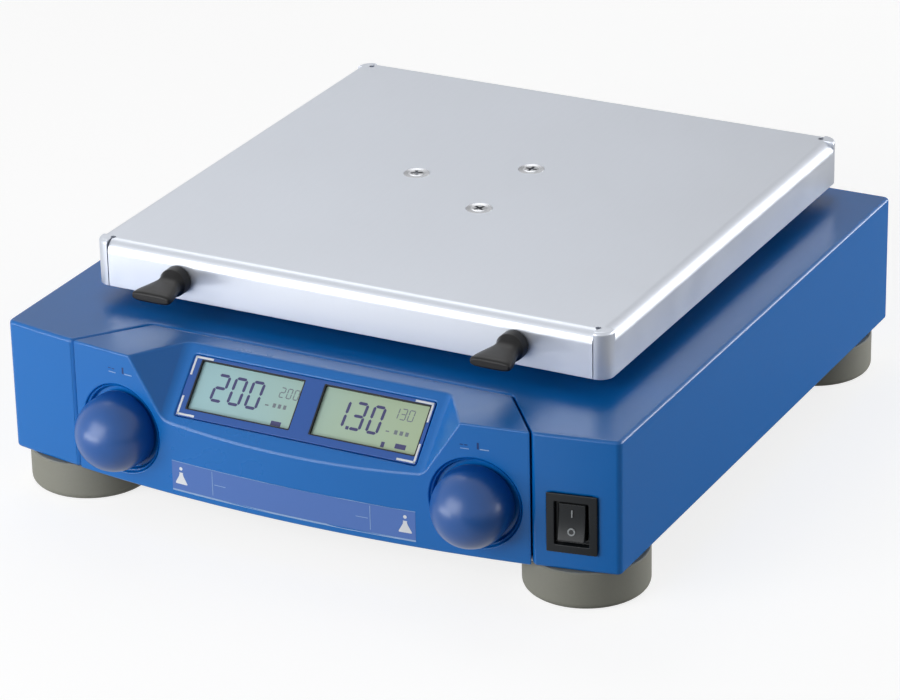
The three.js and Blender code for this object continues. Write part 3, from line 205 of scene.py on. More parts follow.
class Recipe(Graph):
    """A tree that makes shapes from named inputs, and ends in plain mesh with one material."""

    def __init__(self, name: str, inputs: Mapping[str, tuple[str, Any]]) -> None:
        """Makes the tree and its inputs.

        Args:
            name: The tree's name.
            inputs: The socket type and default of each input, by name.
        """
        super().__init__(bpy.data.node_groups.new(name, "GeometryNodeTree"))
        face = self.tree.interface
        face.new_socket("Geometry", in_out="INPUT", socket_type="NodeSocketGeometry")
        for label, (kind, default) in inputs.items():
            face.new_socket(label, in_out="INPUT", socket_type=kind).default_value = default
        face.new_socket("Material", in_out="INPUT", socket_type="NodeSocketMaterial")
        face.new_socket("Geometry", in_out="OUTPUT", socket_type="NodeSocketGeometry")
        self.entry = self.tree.nodes.new("NodeGroupInput")
        self.exit = self.tree.nodes.new("NodeGroupOutput")

    def given(self, name: str) -> Wire:
        """Gives one of the tree's inputs."""
        return Wire(self, self.entry.outputs[name])

    def deliver(self, geometry: Wire) -> None:
        """Realizes the instances, sets the material and ends the tree."""
        real = self.node("GeometryNodeRealizeInstances", {}, {0: geometry})
        smooth = self.node("GeometryNodeSetShadeSmooth", {}, {0: real})
        dressed = self.node("GeometryNodeSetMaterial", {}, {0: smooth, "Material": self.given("Material")})
        self.tree.links.new(dressed.socket, self.exit.inputs[0])

    def run(self, profile: "Stock", material: bpy.types.Material, **values: Any) -> "Stock":
        """Runs the tree on a profile.

        Args:
            profile: The stock whose vertices the tree reads.
            material: The material that the tree sets.
            values: The inputs, by name with spaces as underscores.

        Returns:
            The same stock, now the finished mesh.
        """
        modifier = profile.thing.modifiers.new(self.tree.name, "NODES")
        modifier.node_group = self.tree
        wanted = {name.replace("_", " "): value for name, value in values.items()} | {"Material": material}
        for item in self.tree.interface.items_tree:
            if item.in_out == "INPUT" and item.name in wanted:
                modifier[item.identifier] = wanted[item.name]
        return profile.settle()

    def turn(self, profile: Wire, rows: Wire, sides: Wire) -> Wire:
        """Turns a profile of points about the Z axis.

        Args:
            profile: Geometry whose points follow each other up the profile, in the XZ plane.
            rows: The number of points.
            sides: The number of sides.

        Returns:
            The turned mesh, with its seam and poles merged.
        """
        sheet = self.node("GeometryNodeMeshGrid", {}, {"Vertices X": sides + 1, "Vertices Y": rows})
        index = self.node("GeometryNodeInputIndex")
        share = (index + 0.5) / rows
        column = share.math("FLOOR", share)
        place = self.node("GeometryNodeInputPosition")
        point = self.node(
            "GeometryNodeSampleIndex",
            {"data_type": "FLOAT_VECTOR"},
            {"Geometry": profile, "Value": place, "Index": index % rows},
        )
        turned = self.node(
            "ShaderNodeVectorRotate",
            {"rotation_type": "Z_AXIS"},
            {"Vector": point, "Angle": column * math.tau / sides},
        )
        moved = self.node("GeometryNodeSetPosition", {}, {"Geometry": sheet, "Position": turned})
        return self.node("GeometryNodeMergeByDistance", {}, {"Geometry": moved, "Distance": MERGE})


def turned_grid() -> Recipe:
    """Makes the tree that turns a profile and sets copies of it on a grid."""
    recipe = Recipe("turned grid", {
        "Rows": ("NodeSocketInt", 2),
        "Sides": ("NodeSocketInt", 64),
        "Across": ("NodeSocketInt", 1),
        "Along": ("NodeSocketInt", 1),
        "Pitch X": ("NodeSocketFloat", 0.0),
        "Pitch Y": ("NodeSocketFloat", 0.0),
    })
    body = recipe.turn(recipe.given("Geometry"), recipe.given("Rows"), recipe.given("Sides"))
    across, along = recipe.given("Across"), recipe.given("Along")
    places = recipe.node("GeometryNodeMeshGrid", {}, {
        "Size X": (across - 1) * recipe.given("Pitch X"),
        "Size Y": (along - 1) * recipe.given("Pitch Y"),
        "Vertices X": across,
        "Vertices Y": along,
    })
    recipe.deliver(recipe.node("GeometryNodeInstanceOnPoints", {}, {"Points": places, "Instance": body}))
    return recipe


def crossed_ring() -> Recipe:
    """Makes the tree that turns a screw head, cuts its cross and sets copies round a circle."""
    recipe = Recipe("crossed ring", {
        "Rows": ("NodeSocketInt", 2),
        "Sides": ("NodeSocketInt", 48),
        "Count": ("NodeSocketInt", 3),
        "Circle": ("NodeSocketFloat", 27.5),
        "Cross Span": ("NodeSocketFloat", 5.4),
        "Cross Width": ("NodeSocketFloat", 1.3),
        "Cross Depth": ("NodeSocketFloat", 1.5),
        "First Turn": ("NodeSocketFloat", 0.0),
        "Turn Step": ("NodeSocketFloat", 0.7),
    })
    head = recipe.turn(recipe.given("Geometry"), recipe.given("Rows"), recipe.given("Sides"))
    span, width = recipe.given("Cross Span"), recipe.given("Cross Width")
    bars = []
    for size_x, size_y in ((span, width), (width, span)):
        sizes = {0: size_x, 1: size_y, 2: recipe.given("Cross Depth") * 2}
        size = recipe.node("ShaderNodeCombineXYZ", {}, sizes)
        bars.append(recipe.node("GeometryNodeMeshCube", {}, {"Size": size}))
    cut = recipe.node(
        "GeometryNodeMeshBoolean",
        {"operation": "DIFFERENCE", "solver": "EXACT"},
        {"Mesh 1": head, "Mesh 2": bars},
    )
    count, radius = recipe.given("Count"), recipe.given("Circle")
    ring = recipe.node("GeometryNodeMeshCircle", {}, {"Vertices": count, "Radius": radius})
    index = recipe.node("GeometryNodeInputIndex")
    angle = recipe.given("First Turn") + index * recipe.given("Turn Step")
    turn = recipe.node("ShaderNodeCombineXYZ", {}, {2: angle})
    recipe.deliver(recipe.node(
        "GeometryNodeInstanceOnPoints", {}, {"Points": ring, "Instance": cut, "Rotation": turn},
    ))
    return recipe


# Finishes


@dataclass(frozen=True)
class Finish:
    """A surface finish. Its material is made once and shared."""

    name: str
    colour: str

    def material(self) -> bpy.types.Material:
        """Gives the finish's material, and builds it on first use."""
        known = bpy.data.materials.get(self.name)
        if known:
            return known
        made = bpy.data.materials.new(self.name)
        made.use_nodes = True
        graph = Graph(made.node_tree)
        surface = made.node_tree.nodes["Principled BSDF"]
        place = graph.node("ShaderNodeTexCoord", {}, {}, "Object")
        for name, value in self.dress(graph, place).items():
            if isinstance(value, Wire):
                made.node_tree.links.new(value.socket, surface.inputs[name])
            else:
                surface.inputs[name].default_value = value
        return made

    def dress(self, graph: Graph, place: Wire) -> dict[str, Any]:
        """Gives the surface's inputs; each kind of finish has its own."""
        raise NotImplementedError

    def bump(self, graph: Graph, height: Wire, depth: float) -> Wire:
        """Turns a height of 0 to 1 into a normal, for a relief of this depth in millimetres."""
        values = {"Strength": 1.0, "Distance": depth * MM, "Height": height}
        return graph.node("ShaderNodeBump", {}, values, "Normal")


@dataclass(frozen=True)
class Enamel(Finish):
    """Glossy paint or moulding with a slight orange peel."""

    roughness: float = 0.25
    depth: float = 0.0012
    peel: float = 420.0
    index: float = 1.48
    cloud: float = 9.0
    deep: Point3 = (0.86, 0.9, 0.93)
    fine_change: float = 0.02
    broad_change: float = 0.06

    def dress(self, graph: Graph, place: Wire) -> dict[str, Any]:
        """Gives broad changes of shade and gloss under a fine peel."""
        broad = graph.noise(place, self.cloud, 3.0)
        fine = graph.noise(place, self.peel)
        return {
            "Base Color": graph.mix(broad, linear(self.colour), shaded(self.colour, self.deep)),
            "Roughness": self.roughness + (fine - 0.5) * self.fine_change + (broad - 0.5) * self.broad_change,
            "IOR": self.index,
            "Normal": self.bump(graph, fine, self.depth),
        }


@dataclass(frozen=True)
class Moulding(Finish):
    """Moulded plastic, rubber or print with a fine spark texture."""

    roughness: float = 0.45
    depth: float = 0.02
    grain: float = 2200.0
    cloud: float = 60.0
    cloud_share: float = 0.6
    mottle: float = 0.12
    change: float = 0.12
    index: float = 1.45

    def dress(self, graph: Graph, place: Wire) -> dict[str, Any]:
        """Gives a mottled body colour under a fine texture."""
        fine = graph.noise(place, self.grain, 3.0)
        broad = graph.noise(place, self.cloud, 4.0)
        dark, light = (shaded(self.colour, (share,) * 3) for share in (1 - self.mottle, 1 + self.mottle))
        return {
            "Base Color": graph.mix(broad * self.cloud_share + fine * (1 - self.cloud_share), dark, light),
            "Roughness": self.roughness + (broad - 0.5) * self.change,
            "IOR": self.index,
            "Normal": self.bump(graph, fine, self.depth),
        }


@dataclass(frozen=True)
class Metal(Finish):
    """Bare or plated metal with a grain that can run along one axis."""

    roughness: float = 0.3
    depth: float = 0.004
    grain: Point2 = (900.0, 900.0)
    haze: float = 14.0
    cloud: float = 0.05
    bare: float = 1.0
    line_change: float = 0.12
    haze_change: float = 0.08

    def dress(self, graph: Graph, place: Wire) -> dict[str, Any]:
        """Gives metal with a directional grain and faint clouding."""
        along, across = self.grain
        lines = graph.noise(graph.stretch(place, along, across, across), 1.0, 3.0)
        broad = graph.noise(place, self.haze, 3.0)
        dark = shaded(self.colour, (1 - self.cloud * 2,) * 3)
        return {
            "Base Color": graph.mix(broad, linear(self.colour), dark),
            "Metallic": self.bare,
            "Roughness": self.roughness + (lines - 0.5) * self.line_change + (broad - 0.5) * self.haze_change,
            "Normal": self.bump(graph, lines, self.depth),
        }


@dataclass(frozen=True)
class Winding(Finish):
    """Enamelled wire laid in turns."""

    pitch: float = 1.1
    # Share of the copper colour in the painted shade between turns
    gap: Point3 = (0.25, 0.2, 0.2)
    bare: float = 0.8
    grain: float = 700.0
    roughness: float = 0.35
    change: float = 0.1
    depth: float = 0.4

    def dress(self, graph: Graph, place: Wire) -> dict[str, Any]:
        """Gives copper bands across the height, with painted shade darkening the gaps between turns."""
        height = graph.node("ShaderNodeSeparateXYZ", {}, {0: place}, 2)
        share = (height / (self.pitch * MM)) % 1.0
        turn_height_and_shade = share.math("SINE", share * math.pi)
        return {
            "Base Color": graph.mix(turn_height_and_shade, shaded(self.colour, self.gap), linear(self.colour)),
            "Metallic": self.bare,
            "Roughness": self.roughness + graph.noise(place, self.grain) * self.change,
            "Normal": self.bump(graph, turn_height_and_shade, self.depth),
        }


@dataclass(frozen=True)
class Board(Finish):
    """Solder mask over copper tracks."""

    net: float = 160.0
    track: float = 0.09
    track_share: float = 0.6
    pale: Point3 = (1.6, 1.5, 1.5)
    grain: float = 300.0
    roughness: float = 0.32
    change: float = 0.1
    depth: float = 0.03

    def dress(self, graph: Graph, place: Wire) -> dict[str, Any]:
        """Gives a green board with a fine net of paler tracks."""
        cells = graph.node("ShaderNodeTexVoronoi", {"feature": "DISTANCE_TO_EDGE", "distance": "EUCLIDEAN"},
                           {"Vector": place, "Scale": self.net})
        track = 1 - (cells > self.track)
        pale = shaded(self.colour, self.pale)
        return {
            "Base Color": graph.mix(track * self.track_share, linear(self.colour), pale),
            "Roughness": self.roughness + graph.noise(place, self.grain) * self.change,
            "Normal": self.bump(graph, track, self.depth),
        }


@dataclass(frozen=True)
class Liquid(Finish):
    """The pale face of the liquid-crystal cells, which yellows to the right."""

    warm: str = "#b9ceac"
    reach: float = 52.0
    haze: float = 60.0
    haze_share: float = 0.2
    grain: float = 1500.0
    depth: float = 0.002
    roughness: float = 0.42
    change: float = 0.08
    coat: float = 0.25
    coat_roughness: float = 0.12

    def dress(self, graph: Graph, place: Wire) -> dict[str, Any]:
        """Gives a slow change of colour across both cells, with fine cloud."""
        across = graph.node("ShaderNodeSeparateXYZ", {}, {0: place}, 0)
        cloud = graph.noise(place, self.haze)
        share = graph.ease(across, -self.reach * MM, self.reach * MM) + (cloud - 0.5) * self.haze_share
        return {
            "Base Color": graph.mix(share, linear(self.colour), linear(self.warm)),
            "Roughness": self.roughness + cloud * self.change,
            "Coat Weight": self.coat,
            "Coat Roughness": self.coat_roughness,
            "Normal": self.bump(graph, graph.noise(place, self.grain), self.depth),
        }


BLUE_PAINT = Enamel("blue stove enamel", "#0673c8")
BLUE_MOULDING = Enamel("blue panel moulding", "#0673c8", roughness=0.28, depth=0.0001, peel=90.0)
KNOB_BLUE = Enamel("knob moulding", "#0658a8", roughness=0.325, depth=0.0006, peel=300.0, index=1.65)
WINDOW_FILM = Enamel("violet blue film", "#2e60b2", roughness=0.3, depth=0.002, peel=260.0)
LABEL_FILM = Enamel("label film", "#587fca", roughness=0.3, depth=0.002, peel=260.0)
WHITE_PRINT = Moulding("white print", "#eef2f6", roughness=0.4, depth=0.003, mottle=0.03)
# Pale print for the dividers and knob lines, also used for the painted highlights along the label film's
# edges
PALE_PRINT_AND_HIGHLIGHT = Moulding("pale print and highlight", "#9dbce4", roughness=0.4, depth=0.003, mottle=0.04)
DARK_PRINT = Moulding("dark print", "#143a78", roughness=0.45, depth=0.003, mottle=0.08)
DIGIT_INK = Moulding("digit ink", "#4a4a7a", roughness=0.4, depth=0.002, mottle=0.06)
FAINT_INK = Moulding("faint digit ink", "#7f8892", roughness=0.4, depth=0.002, mottle=0.06)
TRAY_STEEL = Metal("satin tray steel", "#d4d9e2", roughness=0.38, depth=0.0006, grain=(700.0, 60.0),
                   cloud=0.02, bare=0.75)
BRIGHT_STEEL = Metal("bright steel", "#c4c6ca", roughness=0.22, depth=0.002, grain=(1200.0, 300.0))
# Black for the thin frames that paint the shadow in the film's openings round the displays
PAINTED_SHADOW_BLACK = Moulding("painted shadow black", "#17181c", roughness=0.6, depth=0.01, mottle=0.2)
SWITCH_BLACK = Moulding("switch black", "#10161b", roughness=0.28, depth=0.003)
SWITCH_MARK = Moulding("switch mark grey", "#a8adb0", roughness=0.45, depth=0.002, mottle=0.05)
BLACK_PLASTIC = Moulding("satin black moulding", "#0c0c0f", roughness=0.42, depth=0.008, index=1.38)
FOOT_RUBBER = Moulding("foot rubber", "#8f8f85", roughness=0.7, depth=0.03, grain=1300.0, mottle=0.1)
LIQUID_CRYSTAL = Liquid("liquid crystal cell", "#a9d2d9")

SLOT_FINISHES: dict[str, Finish] = {
    "blue_paint": BLUE_PAINT,
    "blue_plastic": BLUE_MOULDING,
    "knob_plastic": KNOB_BLUE,
    "tray_steel": TRAY_STEEL,
    "bright_steel": BRIGHT_STEEL,
    "sheet_steel": Metal("zinc plated sheet", "#aeb1b6", roughness=0.34, depth=0.004, grain=(300.0, 300.0)),
    "cast_alloy": Metal("cast alloy", "#a9adb2", roughness=0.48, depth=0.05, grain=(1400.0, 1400.0)),
    "supply_case": Metal("plain aluminium sheet", "#b4b7bb", roughness=0.38, grain=(500.0, 80.0)),
    "copper_winding": Winding("copper winding", "#b56a3c"),
    "foot_rubber": FOOT_RUBBER,
    "belt_rubber": Moulding("belt rubber", "#1d1d1f", roughness=0.6, depth=0.03, grain=900.0),
    "black_plastic": BLACK_PLASTIC,
    "white_plastic": Moulding("natural white moulding", "#e2e2d8", roughness=0.4, depth=0.01),
    "window_tint": WINDOW_FILM,
    "display_glass": LIQUID_CRYSTAL,
    "board_green": Board("printed board", "#1f5a34"),
}


# Mesh work


class Stock:
    """A workpiece in millimetres, cut and rounded before it becomes a piece."""

    def __init__(self, shape: bmesh.types.BMesh) -> None:
        """Takes over a mesh and frees it."""
        data = bpy.data.meshes.new("stock")
        bmesh.ops.recalc_face_normals(shape, faces=shape.faces[:])
        shape.to_mesh(data)
        shape.free()
        self.thing = bpy.data.objects.new("stock", data)
        bpy.context.scene.collection.objects.link(self.thing)

    def settle(self) -> "Stock":
        """Turns the modifiers into plain mesh."""
        view = bpy.context.evaluated_depsgraph_get()
        view.update()
        fresh = bpy.data.meshes.new_from_object(self.thing.evaluated_get(view))
        old = self.thing.data
        self.thing.modifiers.clear()
        self.thing.data = fresh
        bpy.data.meshes.remove(old)
        return self

    def combine(self, operation: str, *tools: "Stock") -> "Stock":
        """Cuts, keeps or joins with each tool in turn, and uses the tools up."""
        for tool in tools:
            step = self.thing.modifiers.new("step", "BOOLEAN")
            step.operation = operation
            step.solver = "EXACT"
            step.object = tool.thing
        self.settle()
        for tool in tools:
            tool.discard()
        return self

    def cut(self, *tools: "Stock") -> "Stock":
        """Takes the tools' volume away."""
        return self.combine("DIFFERENCE", *tools)

    def keep(self, *tools: "Stock") -> "Stock":
        """Keeps only what lies in each tool."""
        return self.combine("INTERSECT", *tools)

    def join(self, *others: "Stock") -> "Stock":
        """Welds others on."""
        return self.combine("UNION", *others)

    def beside(self, *others: "Stock") -> "Stock":
        """Adds others as separate shells, without welding."""
        shape = bmesh.new()
        shape.from_mesh(self.thing.data)
        for other in others:
            shape.from_mesh(other.thing.data)
            other.discard()
        shape.to_mesh(self.thing.data)
        shape.free()
        return self

    def placed(self, matrix: Matrix) -> "Stock":
        """Moves the mesh itself."""
        self.thing.data.transform(matrix)
        return self

    def bent(self, rule: Callable[[Vector], Vector]) -> "Stock":
        """Moves each vertex by a rule."""
        for vertex in self.thing.data.vertices:
            vertex.co = rule(vertex.co)
        return self

    def rounded(self, width: float, steps: int = 3, angle: float = 32.0) -> "Stock":
        """Rounds every edge that is sharper than an angle in degrees."""
        tidy = bmesh.new()
        tidy.from_mesh(self.thing.data)
        bmesh.ops.remove_doubles(tidy, verts=tidy.verts[:], dist=MERGE)
        flat = math.radians(FLAT)
        bmesh.ops.dissolve_limit(tidy, angle_limit=flat, verts=tidy.verts[:], edges=tidy.edges[:])
        tidy.to_mesh(self.thing.data)
        tidy.free()
        step = self.thing.modifiers.new("round", "BEVEL")
        step.width = width
        step.segments = steps
        step.limit_method = "ANGLE"
        step.angle_limit = math.radians(angle)
        step.use_clamp_overlap = False
        step.miter_outer = "MITER_ARC"
        return self.settle()

    def discard(self) -> None:
        """Removes the workpiece."""
        data = self.thing.data
        bpy.data.objects.remove(self.thing)
        bpy.data.meshes.remove(data)

    def piece(self, name: str, finish: Finish, body: str, slot: str, *nodes: str) -> None:
        """Finishes the stock as a piece of the object.

        Args:
            name: The piece's name.
            finish: Its finish.
            body: The body that it rides on.
            slot: The record's material slot; not used.
            nodes: The CAD nodes that it stands for.
        """
        self.thing.name = name
        data = self.thing.data
        data.name = name
        data.transform(Matrix.Scale(MM, 4))
        data.shade_smooth()
        data.set_sharp_from_angle(angle=math.radians(CREASE))
        even = self.thing.modifiers.new("even", "WEIGHTED_NORMAL")
        even.keep_sharp = True
        self.settle()
        self.thing.data.name = name
        self.thing.data.materials.clear()
        self.thing.data.materials.append(finish.material())
        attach(self.thing, body)
        if nodes:
            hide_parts(*nodes)
        LOG.info("%s: %d faces on %s", name, len(self.thing.data.polygons), body)


def loft(rings: Sequence[Sequence[Vector]]) -> Stock:
    """Joins rings of equal length with quads and closes both ends.

    Args:
        rings: The rings, each a closed loop of points.

    Returns:
        The lofted stock.
    """
    shape = bmesh.new()
    rows = [[shape.verts.new(point) for point in ring] for ring in rings]
    count = len(rows[0])
    for low, high in zip(rows, rows[1:]):
        for place in range(count):
            beyond = (place + 1) % count
            shape.faces.new((low[place], low[beyond], high[beyond], high[place]))
    shape.faces.new(list(reversed(rows[0])))
    shape.faces.new(rows[-1])
    return Stock(shape)


def prism(outline: Sequence[Point2], low: float, high: float) -> Stock:
    """Raises an outline from one level to another."""
    return loft([[Vector((x, y, z)) for x, y in outline] for z in (low, high)])


def block(size: Sequence[float], centre: Sequence[float]) -> Stock:
    """Makes a block from its size and centre."""
    wide, deep, tall = (length / 2 for length in size)
    x, y, z = centre
    outline = [(x - wide, y - deep), (x + wide, y - deep), (x + wide, y + deep), (x - wide, y + deep)]
    return prism(outline, z - tall, z + tall)


def circle(radius: float, x: float = 0.0, y: float = 0.0, steps: int = 64) -> list[Point2]:
    """Gives a circle's points."""
    turns = (math.tau * step / steps for step in range(steps))
    return [(x + radius * math.cos(turn), y + radius * math.sin(turn)) for turn in turns]


def arc(x: float, y: float, radius: float, start: float, end: float, steps: int) -> list[Point2]:
    """Gives the points of an arc from one angle to another, in degrees."""
    turns = (math.radians(start + (end - start) * step / steps) for step in range(steps + 1))
    return [(x + radius * math.cos(turn), y + radius * math.sin(turn)) for turn in turns]


def rounded_square(half_x: float, half_y: float, radius: float, steps: int = 6) -> list[Point2]:
    """Gives a rectangle with rounded corners, anticlockwise from its right side."""
    corners = ((1, 1, 0), (-1, 1, 90), (-1, -1, 180), (1, -1, 270))
    return [
        point
        for side, rise, turn in corners
        for point in arc(side * (half_x - radius), rise * (half_y - radius), radius, turn, turn + 90, steps)
    ]


def rounded_box(size: Point3) -> list[Point2]:
    """Gives a rectangle with rounded corners from its width, height and corner radius."""
    wide, tall, corner = size
    return rounded_square(wide / 2, tall / 2, corner)


def moved(outline: Sequence[Point2], x: float, y: float) -> list[Point2]:
    """Gives an outline moved across and up."""
    return [(across + x, up + y) for across, up in outline]


def gathered(shapes: Sequence[Stock]) -> Stock:
    """Puts shapes together as separate shells of one stock."""
    first, *others = shapes
    return first.beside(*others)


def profile(points: Sequence[Point2]) -> Stock:
    """Makes a row of loose vertices from radii and heights, for a tree to turn."""
    shape = bmesh.new()
    for radius, height in points:
        shape.verts.new((radius, 0.0, height))
    return Stock(shape)


def mirrored(outline: Sequence[Point2]) -> list[Point2]:
    """Turns an outline over, left to right, and keeps it anticlockwise."""
    return [(-x, y) for x, y in reversed(outline)]


def convex(planes: Sequence[tuple[Vector, Vector]], reach: float) -> Stock:
    """Cuts a big cube down to the space behind every plane.

    Args:
        planes: A point and an outward direction for each plane.
        reach: Half the cube's side.

    Returns:
        The convex stock.
    """
    shape = bmesh.new()
    bmesh.ops.create_cube(shape, size=reach * 2)
    for point, outward in planes:
        whole = shape.verts[:] + shape.edges[:] + shape.faces[:]
        cut = bmesh.ops.bisect_plane(shape, geom=whole, plane_co=point, plane_no=outward, clear_outer=True)
        rim = [item for item in cut["geom_cut"] if isinstance(item, bmesh.types.BMEdge)]
        if rim:
            bmesh.ops.contextual_create(shape, geom=rim)
    return Stock(shape)


# The object's own geometry


def joint_place(name: str) -> Vector:
    """Gives where a joint stands, in millimetres."""
    joints = frame["record"]["behaviour"]["joints"]
    return Vector(next(joint["pos_m"] for joint in joints if joint["name"] == name)) / MM


@dataclass
class Front:
    """The bowed front of the housing, which the panel, knobs and switch share."""

    bow: float = 14.0
    corner: float = 2.5
    least_corner: float = 0.8
    corner_steps: int = 6
    bow_steps: int = 60
    half: float = field(init=False)
    apex: float = field(init=False)
    rear: float = field(init=False)
    low: float = field(init=False)
    high: float = field(init=False)

    def __post_init__(self) -> None:
        """Reads the housing's extent from the frame."""
        cover_low, cover_high = box_of("housing_cover")
        self.half = cover_high.x
        self.rear = cover_high.y
        self.low, self.high = cover_low.z, cover_high.z
        self.apex = box_of("front_panel")[0].y

    @property
    def radius(self) -> float:
        """Gives the bow's radius."""
        return (self.half ** 2 + self.bow ** 2) / (2 * self.bow)

    @property
    def centre(self) -> float:
        """Gives the Y of the bow's centre."""
        return self.apex + self.radius

    def at(self, x: float) -> float:
        """Gives the front's Y at an X."""
        return self.centre - math.sqrt(self.radius ** 2 - x ** 2)

    def frame(self, x: float, z: float) -> Matrix:
        """Gives a frame on the front, with X to the right, Y inwards and Z up."""
        turn = math.asin(x / self.radius)
        return Matrix.Translation((x, self.at(x), z)) @ Matrix.Rotation(turn, 4, "Z")

    def wrap(self, point: Vector) -> Vector:
        """Lays a point of a flat drawing on the front: X across, Z up, and -Y out of the surface."""
        turn = math.asin(point.x / self.radius)
        reach = self.radius - point.y
        return Vector((reach * math.sin(turn), self.centre - reach * math.cos(turn), point.z))

    def outline(self, inset: float) -> list[Point2]:
        """Gives the housing's plan, drawn in by an inset, anticlockwise."""
        half, rear, radius = self.half - inset, self.rear - inset, self.radius - inset
        corner = max(self.corner - inset, self.least_corner)
        side = half - corner
        lean = math.degrees(math.asin(side / (radius - corner)))
        dip = self.centre - math.sqrt((radius - corner) ** 2 - side ** 2)
        right = arc(side, dip, corner, 270 + lean, 360, self.corner_steps)
        bow = arc(0, self.centre, radius, 270 - lean, 270 + lean, self.bow_steps)
        rear_right = arc(side, rear - corner, corner, 0, 90, self.corner_steps)
        return bow[1:-1] + right + rear_right + mirrored(rear_right) + mirrored(right)


@dataclass
class Prints:
    """What is printed on the bowed front: the film along its foot, with painted highlights along its edges,
    and the marks above the knobs.
    """

    front: Front
    sink: float = 0.04
    film_proud: float = 0.06
    highlight_proud: float = 0.08
    ink_proud: float = 0.1
    film_low: float = 19.4
    film_high: float = 31.4
    film_half: float = 54.0
    # Widths of the painted highlights along the film's lower and upper edges
    line: float = 0.7
    edge: float = 0.2
    divider_x: float = 35.0
    divider_half: float = 0.12
    divider_ends: Point2 = (1.2, 0.6)
    dash_x: float = 31.5
    dash_half: float = 2.6
    dash_levels: Point2 = (25.2, 25.45)
    flask_x: float = 49.7
    flask_foot: float = 22.0
    mark_places: tuple[Point2, Point2] = ((-80.9, 64.4), (75.0, 63.0))
    dark_marks: tuple[Rectangle, ...] = (
        (-2.2, -0.9, 0.0, 0.35),
        (-0.4, 0.9, 0.0, 0.35),
        (4.6, 5.4, -1.0, 1.7),
    )
    pale_marks: tuple[Rectangle, ...] = (
        (5.8, 9.4, -1.1, -0.7),
        (-2.0, 1.4, -1.5, -1.2),
    )

    def drawing(self, name: str, finish: Finish, outlines: Sequence[Sequence[Point2]], proud: float) -> None:
        """Lays flat outlines on the bowed front as a thin print.

        Args:
            name: The piece's name.
            finish: Its finish.
            outlines: The outlines, in X and Z.
            proud: How far the print stands out of the surface.
        """
        shapes = [prism(outline, -self.sink, proud).placed(UPRIGHT) for outline in outlines]
        gathered(shapes).bent(self.front.wrap).piece(name, finish, "housing", "white_plastic")

    def label(self) -> None:
        """Makes the narrow film along the panel's foot, with painted highlights along its lower and upper
        edges, and its dividers and flasks.
        """
        low, high, half = self.film_low, self.film_high, self.film_half
        self.drawing("label_film", LABEL_FILM, [strip(-half, half, low, high)], self.film_proud)
        # Pale strips along the film's lower and upper edges: painted highlights where light catches the edges
        # of the label's shallow recess
        self.drawing("label_lower_highlight", PALE_PRINT_AND_HIGHLIGHT, [strip(-half, half, low - self.line, low)], self.highlight_proud)
        self.drawing("label_upper_highlight", PALE_PRINT_AND_HIGHLIGHT, [strip(-half, half, high, high + self.edge)], self.film_proud)
        foot, head = low + self.divider_ends[0], high - self.divider_ends[1]
        lines, flasks = [], []
        for _, side in SIDES:
            x, thick = side * self.divider_x, self.divider_half
            lines.append(strip(x - thick, x + thick, foot, head, 1))
            flasks += flask(side * self.flask_x, self.flask_foot)
        for _, side in SIDES:
            x = side * self.dash_x
            lines.append(strip(x - self.dash_half, x + self.dash_half, *self.dash_levels, 2))
        self.drawing("label_dividers", PALE_PRINT_AND_HIGHLIGHT, lines, self.ink_proud)
        self.drawing("label_flasks", WHITE_PRINT, flasks, self.ink_proud)

    def knob_marks(self) -> None:
        """Prints the small turn marks above the knobs."""
        for name, finish, marks in (
            ("knob_marks", DARK_PRINT, self.dark_marks),
            ("knob_lines", PALE_PRINT_AND_HIGHLIGHT, self.pale_marks),
        ):
            outlines = [
                strip(x + left, x + right, z + low, z + high, 1)
                for x, z in self.mark_places
                for left, right, low, high in marks
            ]
            self.drawing(name, finish, outlines, self.film_proud)

    def build(self) -> None:
        """Builds every print."""
        self.label()
        self.knob_marks()


